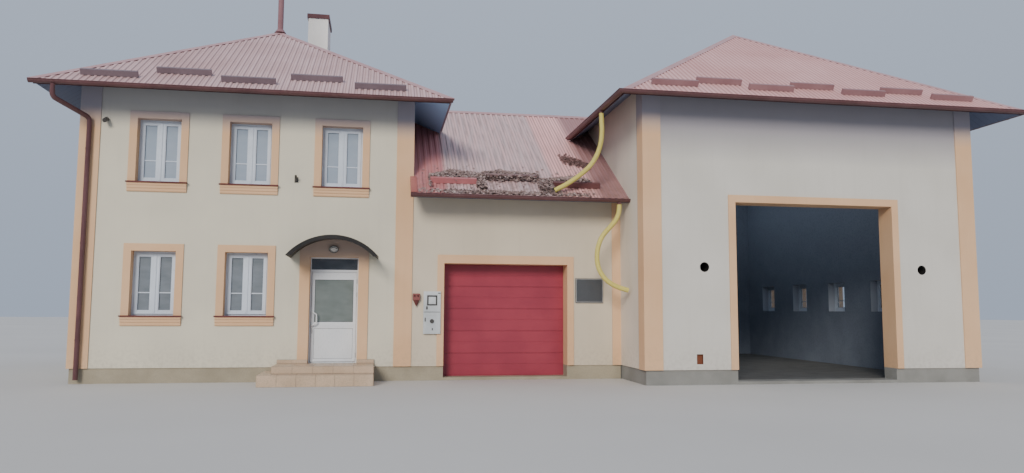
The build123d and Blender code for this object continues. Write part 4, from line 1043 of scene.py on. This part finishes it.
glass_face = reveal + 0.022
bead, gasket, half_bar, cover, bar_share = 0.014, 0.004, 0.011, 0.024, 0.33
cover_back, cover_face, drip_face, cover_inset, drip_inset = 0.014, 0.026, 0.030, 0.055, 0.042
trims, gaskets, bars = bmesh.new(), bmesh.new(), bmesh.new()
for face, centre, sill, width, height, leaves in windows:
    x0, x1, top = centre - width / 2, centre + width / 2, sill + height
    z0, z1 = sill + frame_side, top - frame_side
    light = (width - 2 * frame_side - mullion * (leaves - 1)) / leaves
    for i in range(leaves):
        a = x0 + frame_side + i * (light + mullion)
        b = a + light
        strips_round(trims, face, a, b, z0, z1, bead, reveal - 0.006, glass_face - 0.001)
        strips_round(gaskets, face, a + bead, b - bead, z0 + bead, z1 - bead, gasket,
                     glass_face - 0.005, glass_face - 0.001)
        bar = z0 + bar_share * (z1 - z0)
        face_box(bars, face, (a + bead, glass_face - 0.010, bar - half_bar),
                 (b - bead, glass_face - 0.001, bar + half_bar))
    if leaves == 2:
        face_box(trims, face, (centre - cover, reveal - cover_face, sill + cover_inset),
                 (centre + cover, reveal - cover_back, top - cover_inset), rounded=0.004)
    face_box(trims, face, (x0 + drip_inset, reveal - drip_face, sill + 0.030),
             (x1 - drip_inset, reveal - cover_back, sill + 0.048), rounded=0.004)
new_piece("window_beads_and_strips", trims, frame_plastic)
new_piece("window_gaskets", gaskets, black_rubber)
new_piece("window_bars", bars, frame_plastic)

# %% [markdown]
# ## Entrance
#
# The door is a plastic leaf with obscured glass over a filled panel. The landing and its
# step are laid with beige tiles of about 400 mm, 8 mm thick, with 5 mm joints. Each tile is a
# block with a rounded edge, because that edge is what catches the light on a worn step.

# %% Tiles on the landing and the step
door_left, door_right = door_centre - 0.520, door_centre + 0.520
landing_left, landing_right = door_left - 0.635, door_right + 0.375
step_left, step_level = landing_left - 0.240, 0.232
landing_front, landing_level, step_front = -0.840, 0.385, -1.150
tile_size, tile_joint, tile_thick = 0.41, 0.005, 0.008
clear_of_tile, sill_front = tile_thick + 0.001, -0.045
riser_foot, sill_foot = step_level + clear_of_tile, landing_level + clear_of_tile
upper_front, sill_head = landing_front - clear_of_tile, 0.475


def tile_field(bm, low, high, facing, way):
    """Tiles on the flat rectangle between two corners, which face along an axis."""
    low, high = Vector(low), Vector(high)
    axes = [i for i in range(3) if i != facing]
    counts = [max(1, round((high[i] - low[i]) / tile_size)) for i in axes]
    for i in range(counts[0]):
        for j in range(counts[1]):
            a, b = low.copy(), high.copy()
            for axis, count, k in ((axes[0], counts[0], i), (axes[1], counts[1], j)):
                step = (high[axis] - low[axis]) / count
                a[axis] = low[axis] + k * step + tile_joint / 2
                b[axis] = low[axis] + (k + 1) * step - tile_joint / 2
            a[facing], b[facing] = sorted((low[facing], low[facing] + way * tile_thick))
            round_edges(bm, add_box(bm, a, b), 0.002)


tiles = bmesh.new()
for low, high, facing, way in (
        ((landing_left, landing_front, landing_level), (landing_right, sill_front, landing_level),
         2, 1),
        ((landing_left, landing_front, riser_foot), (landing_right, landing_front, landing_level),
         1, -1),
        ((step_left, step_front, step_level), (landing_right, upper_front, step_level), 2, 1),
        ((step_left, step_front, 0), (landing_right, step_front, step_level), 1, -1),
        ((step_left, upper_front, step_level), (landing_left - clear_of_tile, 0, step_level), 2, 1),
        ((landing_left, landing_front, riser_foot), (landing_left, 0, landing_level), 0, -1),
        ((step_left, step_front, 0), (step_left, 0, step_level), 0, -1),
        ((landing_right, landing_front, riser_foot), (landing_right, 0, landing_level), 0, 1),
        ((landing_right, step_front, 0), (landing_right, 0, step_level), 0, 1),
        ((landing_left, sill_front, sill_foot), (door_left, sill_front, sill_head), 1, -1),
        ((door_right, sill_front, sill_foot), (landing_right, sill_front, sill_head), 1, -1)):
    tile_field(tiles, low, high, facing, way)
bmesh.ops.translate(tiles, vec=house_corner, verts=tiles.verts)
new_piece("step_tiles", tiles, step_tile)

# %% Beads and gaskets of the door
leaf_left, leaf_right = door_left + 0.041, door_right - 0.038
leaf_bottom, leaf_top, door_face = 0.411, 2.369, 0.150
pane_foot, door_bead = 1.265, 0.013
glazed = (leaf_left + 0.050, leaf_right - 0.050, pane_foot, leaf_top - 0.149)
panel = (leaf_left + 0.050, leaf_right - 0.050, leaf_bottom + 0.060, pane_foot - 0.113)
leaf_trims, leaf_gaskets = bmesh.new(), bmesh.new()
for (x0, x1, z0, z1), back, behind, width in ((glazed, 0.006, 0.021, 0.007),
                                              (panel, 0.004, 0.016, 0.005)):
    strips_round(leaf_trims, front, x0, x1, z0, z1, door_bead, door_face + back, door_face + behind)
    strips_round(leaf_gaskets, front, x0 + door_bead, x1 - door_bead, z0 + door_bead,
                 z1 - door_bead, width, door_face + 0.012, door_face + 0.020)
face_box(leaf_trims, front, (leaf_left + 0.02, door_face - 0.006, 1.195),
         (leaf_right - 0.02, door_face, 1.207))
face_box(leaf_trims, front, (leaf_left + 0.01, door_face - 0.014, 0.420),
         (leaf_right - 0.01, door_face, 0.436), rounded=0.004)
new_piece("door_leaf_gaskets", leaf_gaskets, grey_rubber, body="entrance_door")
new_piece("door_leaf_beads", leaf_trims, door_plastic, body="entrance_door")

# %% Lock, hinge barrels, beads of the transom and the lamp's ring
lock = bmesh.new()
face_box(lock, front, (leaf_left + 0.011, door_face - 0.004, 1.02),
         (leaf_left + 0.039, door_face, 1.15), rounded=0.002)
add_round(lock, (leaf_left + 0.025, door_face - 0.008, 1.06), 0.009, 0.012, lying=True)
new_piece("door_lock", lock, grey_plastic, body="entrance_door")
hinges = bmesh.new()
for level in (0.555, 1.880, 2.170):
    add_round(hinges, (leaf_right + 0.003, door_face - 0.011, level), 0.010, 0.100)
new_piece("door_hinge_barrels", hinges, grey_plastic, smooth=40)
transom_trims = bmesh.new()
strips_round(transom_trims, front, door_left + 0.0107, door_right - 0.0107, 2.415, 2.680, 0.012,
             door_face + 0.004, door_face + 0.021)
new_piece("transom_beads", transom_trims, door_plastic)

ring, ring_half_width, ring_half_height, ring_depth = bmesh.new(), 0.092, 0.066, 0.050
bmesh.ops.create_circle(ring, segments=40, radius=1,
                        matrix=Matrix.Diagonal((ring_half_width, ring_half_height, 1, 1)))
extrude_edges(ring, ring.edges[:], (0, 0, ring_depth))
lamp_place = moved_to(door_centre - 0.020, -0.026, 2.865)
bmesh.ops.transform(ring, matrix=lamp_place @ Matrix.Rotation(math.radians(90), 4, "X"),
                    verts=ring.verts)
bmesh.ops.recalc_face_normals(ring, faces=ring.faces)
bmesh.ops.solidify(ring, geom=ring.faces[:], thickness=-0.012)
new_piece("lamp_ring", ring, zinc, smooth=40)

# %% [markdown]
# ## Garage door and what hangs beside it
#
# A sectional door is a stack of insulated steel panels, each pressed with shallow bands that
# stiffen it. Ten raised bands stand on the five panels. Beside the door hang the meter
# cabinet with its two small doors, and an alarm sounder with a horn that points down.

# %% Pressed bands of the garage door
panel_left = garage_left + 0.714
panel_right = panel_left + 2.828
panel_foot, panel_top, band_count, band_gap = 0.065, 2.600, 10, 0.016
band_face, band_back, band_inset = 0.391, 0.3955, 0.012
band_pitch = (panel_top - panel_foot) / band_count
bands = bmesh.new()
for i in range(band_count):
    low = panel_foot + i * band_pitch
    face_box(bands, front, (panel_left + band_inset, band_face, low + band_gap),
             (panel_right - band_inset, band_back, low + band_pitch - band_gap), rounded=0.0035)
new_piece("garage_door_bands", bands, door_coating)

# %% Doors, window and locks of the meter cabinet
cabinet_left, cabinet_right, cabinet_face = garage_left + 0.260, garage_left + 0.640, -0.060
middle = (cabinet_left + cabinet_right) / 2
plates, dark_bits = bmesh.new(), bmesh.new()
for z0, z1 in ((1.045, 1.490), (1.522, 1.945)):
    strips_round(plates, front, cabinet_left + 0.018, cabinet_right - 0.018, z0, z1, 0.055,
                 cabinet_face - 0.004, cabinet_face)
strips_round(dark_bits, front, middle - 0.112, middle + 0.112, 1.652, 1.878, 0.030,
             cabinet_face - 0.006, cabinet_face)
for x, z, width, height in (
        (cabinet_left + 0.075, 1.60, 0.030, 0.070), (cabinet_left + 0.040, 1.34, 0.022, 0.085),
        (cabinet_right - 0.035, 1.925, 0.060, 0.016), (middle + 0.01, 1.13, 0.018, 0.045)):
    face_box(dark_bits, front, (x - width / 2, cabinet_face - 0.016, z - height / 2),
             (x + width / 2, cabinet_face - 0.002, z + height / 2), rounded=0.004)
add_round(dark_bits, (middle, cabinet_face - 0.016, 1.305), 0.048, 0.014, segments=28, top=0.043,
          lying=True)
face_box(dark_bits, front, (cabinet_left + 0.012, cabinet_face - 0.003, 1.501),
         (cabinet_right - 0.012, cabinet_face, 1.511))
new_piece("cabinet_door_plates", plates, grey_plastic)
new_piece("cabinet_fittings", dark_bits, zinc)

# %% Rim of the plaque
plaque_rim, rim_inset = bmesh.new(), 0.014
low, high = (Vector(corner) - house_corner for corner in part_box("wall_plaque"))
strips_round(plaque_rim, front, low.x + rim_inset, high.x - rim_inset, low.z + rim_inset,
             high.z - rim_inset, 0.006, low.y - 0.002, low.y)
new_piece("plaque_rim", plaque_rim, camera_plastic)

# %% Alarm sounder
alarm, alarm_left, alarm_width = bmesh.new(), garage_left + 0.020, 0.160
alarm_middle = alarm_left + alarm_width / 2
case = add_box(alarm, at(alarm_left, -0.090, 1.765), at(alarm_left + alarm_width, 0, 1.915))
round_edges(alarm, case, 0.012, segments=3)
for dx in (-0.035, 0.035):
    add_round(alarm, (alarm_middle + dx, -0.086, 1.860), 0.020, 0.008, lying=True)
alarm_case = new_piece("alarm_case", alarm, alarm_paint)
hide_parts("alarm_box")
horn = bmesh.new()
add_round(horn, (alarm_middle, -0.048, 1.714), 0.022, 0.105, segments=24, top=0.070, flat=0.6)
add_round(horn, (alarm_middle, -0.048, 1.6485), 0.012, 0.025, segments=16, top=0.016)
new_piece("alarm_horn", horn, sill_steel, smooth=40)

# %% [markdown]
# ## Gutters held up and flashings
#
# Each gutter hangs in bent flat-iron straps, about 0.9 m apart. The garage roof ends beside
# the house in a verge flashing that stayed out of the weather and is still bright red. The
# downpipe is held by three clips.

# %% Gutter straps
gutter_radius, gutter_drop, strap_gap, strap_width = 0.070, 0.035, 0.9, 0.025
strap = bmesh.new()
bmesh.ops.create_circle(strap, segments=32, radius=gutter_radius + 0.002,
                        matrix=Matrix.Rotation(math.radians(90), 4, "Y"))
cut(strap, (0, 0, 0.006), (0, 0, 1), drop=True)
extrude_edges(strap, strap.edges[:], (strap_width, 0, 0))
bmesh.ops.solidify(strap, geom=strap.faces[:], thickness=0.003)
strap_mesh = mesh_of("strap", strap)
straps = bmesh.new()
garage_eave = garage_width + 0.09
eaves = [(*eaves_of(roof)[side], roof["eave"])
         for roof, sides in ((house_roof, (0, 2)), (hall_roof, (0, 1, 2))) for side in sides]
eaves += [(garage_left - 0.09, garage_roof["front"], 0, garage_eave, garage_roof["eave"]),
          (garage_right, garage_roof["back"], 180, garage_eave, garage_roof["eave"])]
for x, y, turn, length, eave in eaves:
    count = round(length / strap_gap)
    for i in range(count):
        local = Matrix.Translation(((i + 0.5) * length / count, -gutter_radius, -gutter_drop))
        add_copy(straps, strap_mesh, moved_to(x, y, eave, turn) @ local)
new_piece("gutter_straps", straps, gutter_steel)

# %% Verge flashing of the garage roof and clips of the downpipe
verge, verge_left = bmesh.new(), garage_left - 0.080
verge_front, verge_back = garage_roof["front"] - sheet_drip, -render_proud - 0.006
skirt_thick, skirt_drop, lap, lap_foot, verge_top = 0.0035, 0.115, 0.060, 0.033, 0.036
for x1, z0 in ((verge_left + skirt_thick, -skirt_drop), (garage_left + lap, lap_foot)):
    add_box(verge, at(verge_left, verge_front, z0), at(x1, verge_back, verge_top))
rise, foot = garage_roof["slope"], house_corner.y + garage_roof["front"]
lift = garage_roof["eave"] - rise * foot
shear = Matrix(((1, 0, 0, 0), (0, 1, 0, 0), (0, rise, 1, lift), (0, 0, 0, 1)))
bmesh.ops.transform(verge, matrix=shear, verts=verge.verts)
new_piece("verge_flashing", verge, fresh_red)
clips, pipe_x, pipe_y, clip_radius, clip_height = bmesh.new(), 0.1925, -0.095, 0.054, 0.030
for level in (0.9, 2.9, 4.9):
    add_round(clips, (pipe_x, pipe_y, level), clip_radius, clip_height, segments=28, caps=False)
    add_box(clips, at(0.180, -0.045, level - clip_height / 2),
            at(0.205, -0.025, level + clip_height / 2))
new_piece("downpipe_clips", clips, gutter_steel, smooth=40)

# %% [markdown]
# ## Dead leaves
#
# A season's leaves from the trees around have slid down the garage roof and lie heaped behind
# its snow guards, in humps where the guards hold them and in tongues where there is a gap.
# Some went on to the gutter, and a wet reddish patch lies in the valley by the hall. Each leaf
# is a small blade folded along its rib. Fifteen kinds with their own brown are made once, and
# thousands of copies are strewn with one fixed seed, so the heap has real edges and shadows
# and comes out the same each time.

# %% Kinds of leaf
random.seed(8)
leaf_browns = (
    "#988481", "#ac9691", "#826e6c", "#bfaeab", "#726362", "#a08a85", "#c8b7b6", "#8c7876",
    "#b49a94", "#7c6b6a", "#9d8481", "#b9a7a6", "#6b4443", "#5b3938", "#7a5250")
dry_kinds, wet_kinds = slice(0, 12), slice(12, 15)
leaf_kinds = []
for brown in leaf_browns:
    bm = bmesh.new()
    bmesh.ops.create_grid(bm, x_segments=2, y_segments=2, size=0.5)
    fold = random.uniform(0.12, 0.35)
    for v in bm.verts:
        if abs(v.co.x) > 0.4:
            v.co.y *= 0.25
        if abs(v.co.y) > 0.1:
            v.co.z = fold * abs(v.co.y)
        v.co.z += random.uniform(-0.06, 0.06)
        v.co.y *= 0.7
    mesh = mesh_of("leaf_kind", bm)
    shade = mesh.color_attributes.new("leaf_brown", "FLOAT_COLOR", "POINT")
    for value in shade.data:
        value.color = linear(brown)
    leaf_kinds.append(mesh)

# %% Outline of the heap
heap_left, heap_right = 7.36, 11.05
heap_top = [(heap_left, 0.00), (7.84, 0.32), (8.20, 0.24), (8.53, 0.20), (8.64, 0.17),
            (9.02, 0.34), (9.47, 0.22), (10.02, -0.02), (10.42, 0.12), (10.80, 0.18),
            (heap_right, 0.02)]
guard_lines = [(7.362, 8.392, -0.260), (8.604, 9.818, -0.015), (10.145, 11.242, -0.295)]
spill_foot = -0.62


def top_of_heap(x):
    """How far up the slope the heap reaches at x."""
    for (x0, y0), (x1, y1) in zip(heap_top, heap_top[1:]):
        if x <= x1:
            return y0 + (y1 - y0) * (x - x0) / (x1 - x0)


def foot_of_heap(x):
    """Where the heap rests: on a guard, or spilling down to the eave in a gap."""
    for start, end, y in guard_lines:
        if start <= x <= end:
            return y + 0.03
    return spill_foot


# %% Strew the leaves
leaves = bmesh.new()
leaves.verts.layers.float_color.new("leaf_brown")
on_slope = Matrix.Rotation(math.atan(garage_roof["slope"]), 4, "X")
full_turn, tilt_spread, leaf_sizes, lowest_leaf = 6.28, 0.35, (0.05, 0.095), 0.006


def drop_leaf(x, y, lift, kinds=dry_kinds):
    """Drops one leaf on the sheet, or on others by a lift."""
    size = random.uniform(*leaf_sizes)
    turn = Matrix.Rotation(random.uniform(0, full_turn), 4, "Z")
    tilt = Matrix.Rotation(random.gauss(0, tilt_spread), 4, "X")
    tilt = tilt @ Matrix.Rotation(random.gauss(0, tilt_spread), 4, "Y")
    place = Matrix.Translation(at(x, y, garage_height(y, sheet_flat + lowest_leaf + lift)))
    matrix = place @ on_slope @ tilt @ turn @ Matrix.Scale(size, 4)
    add_copy(leaves, random.choice(leaf_kinds[kinds]), matrix)


# the heap itself, deep at its foot and thin at its top
for _ in range(7600):
    x = random.uniform(7.34, 11.06)
    low, high = foot_of_heap(x), top_of_heap(max(heap_left, min(heap_right, x)))
    depth = random.random() ** 1.15
    y = low + (high + random.gauss(0, 0.03) - low) * depth
    drop_leaf(x, y, random.random() * (0.135 * (1 - depth) ** 0.5 + 0.02))
# piled on the middle guard, and fewer on the left one
for _ in range(1900):
    drop_leaf(random.uniform(8.56, 9.86), random.gauss(-0.03, 0.045), random.uniform(0.03, 0.16))
for _ in range(260):
    drop_leaf(random.uniform(7.40, 8.36), random.gauss(-0.235, 0.02), random.uniform(0.10, 0.14))
# along the eave, and single ones all over the lower slope
for _ in range(900):
    drop_leaf(random.triangular(7.05, 11.2, 8.8), random.uniform(-0.70, -0.56),
              random.uniform(0, 0.03))
for _ in range(110):
    drop_leaf(random.uniform(7.15, 11.1), random.uniform(-0.55, 0.75), 0.0)
# the wet patch in the valley by the hall
for _ in range(800):
    share = random.random()
    drop_leaf(10.70 + 0.52 * share + random.gauss(0, 0.06),
              1.13 - 0.32 * share + random.gauss(0, 0.10), random.uniform(0, 0.03), wet_kinds)
litter = Finish("dry_leaf_litter", 0.85)
litter.colour = litter.add("VertexColor", layer_name="leaf_brown").outputs[0]
litter.over(litter.clouds(0.02), 1, "#857370")
new_piece("leaf_litter", leaves, litter.finished())

# %% [markdown]
# ## Floor, light and the end
#
# The building stands on a plain pale floor under a pale bluish sky. One soft sun from the
# street side, a little from the left, models the reliefs and leaves a soft shade under the
# eaves. A wide dim area light under the hall's roof stands in for the daylight that reaches
# the room through its gate and windows.

# %% Floor and light
floor_size, sky_strength, sun_strength, glow_strength = 120, 0.78, 2.85, 66.0
floor_mesh = bmesh.new()
bmesh.ops.create_grid(floor_mesh, x_segments=1, y_segments=1, size=floor_size)
floor_data = mesh_of("studio_floor", floor_mesh)
floor = put_in("studio_floor", floor_data)
pale = Finish("pale_studio_floor", 0.9)
pale.blotched(6.0, "#c9c7c3", "#c4c2be", detail=4)
floor_data.materials.append(pale.finished())

world = bpy.data.worlds.new("grey_sky")
bpy.context.scene.world = world
world.use_nodes = True
air = Nodes(world.node_tree, "Generated")
sky = air.tree.nodes["Background"]
higher = air.ramp(air.axis(2), 0.0, 0.8)
air.tree.links.new(air.mixed(higher, linear("#bccadf"), linear("#dde9ff")), sky.inputs["Color"])
sky.inputs["Strength"].default_value = sky_strength
sun_data = bpy.data.lights.new("low_soft_sun", "SUN")
sun_data.energy = sun_strength
sun_data.color = (1.0, 0.93, 0.83)
sun_data.angle = math.radians(20)
sun = put_in("low_soft_sun", sun_data)
sun.rotation_euler = (math.radians(66), 0, math.radians(-24))
sun.visible_glossy = False
glow_data = bpy.data.lights.new("hall_daylight", "AREA")
glow_data.shape = "RECTANGLE"
glow_data.size, glow_data.size_y = 6.0, 8.5
glow_data.energy = glow_strength
glow_data.color = (0.78, 0.88, 1.0)
glow = put_in("hall_daylight", glow_data)
glow.location = at((hall_left + hall_right) / 2, (hall_front + hall_back) / 2 + 0.5, 5.85)
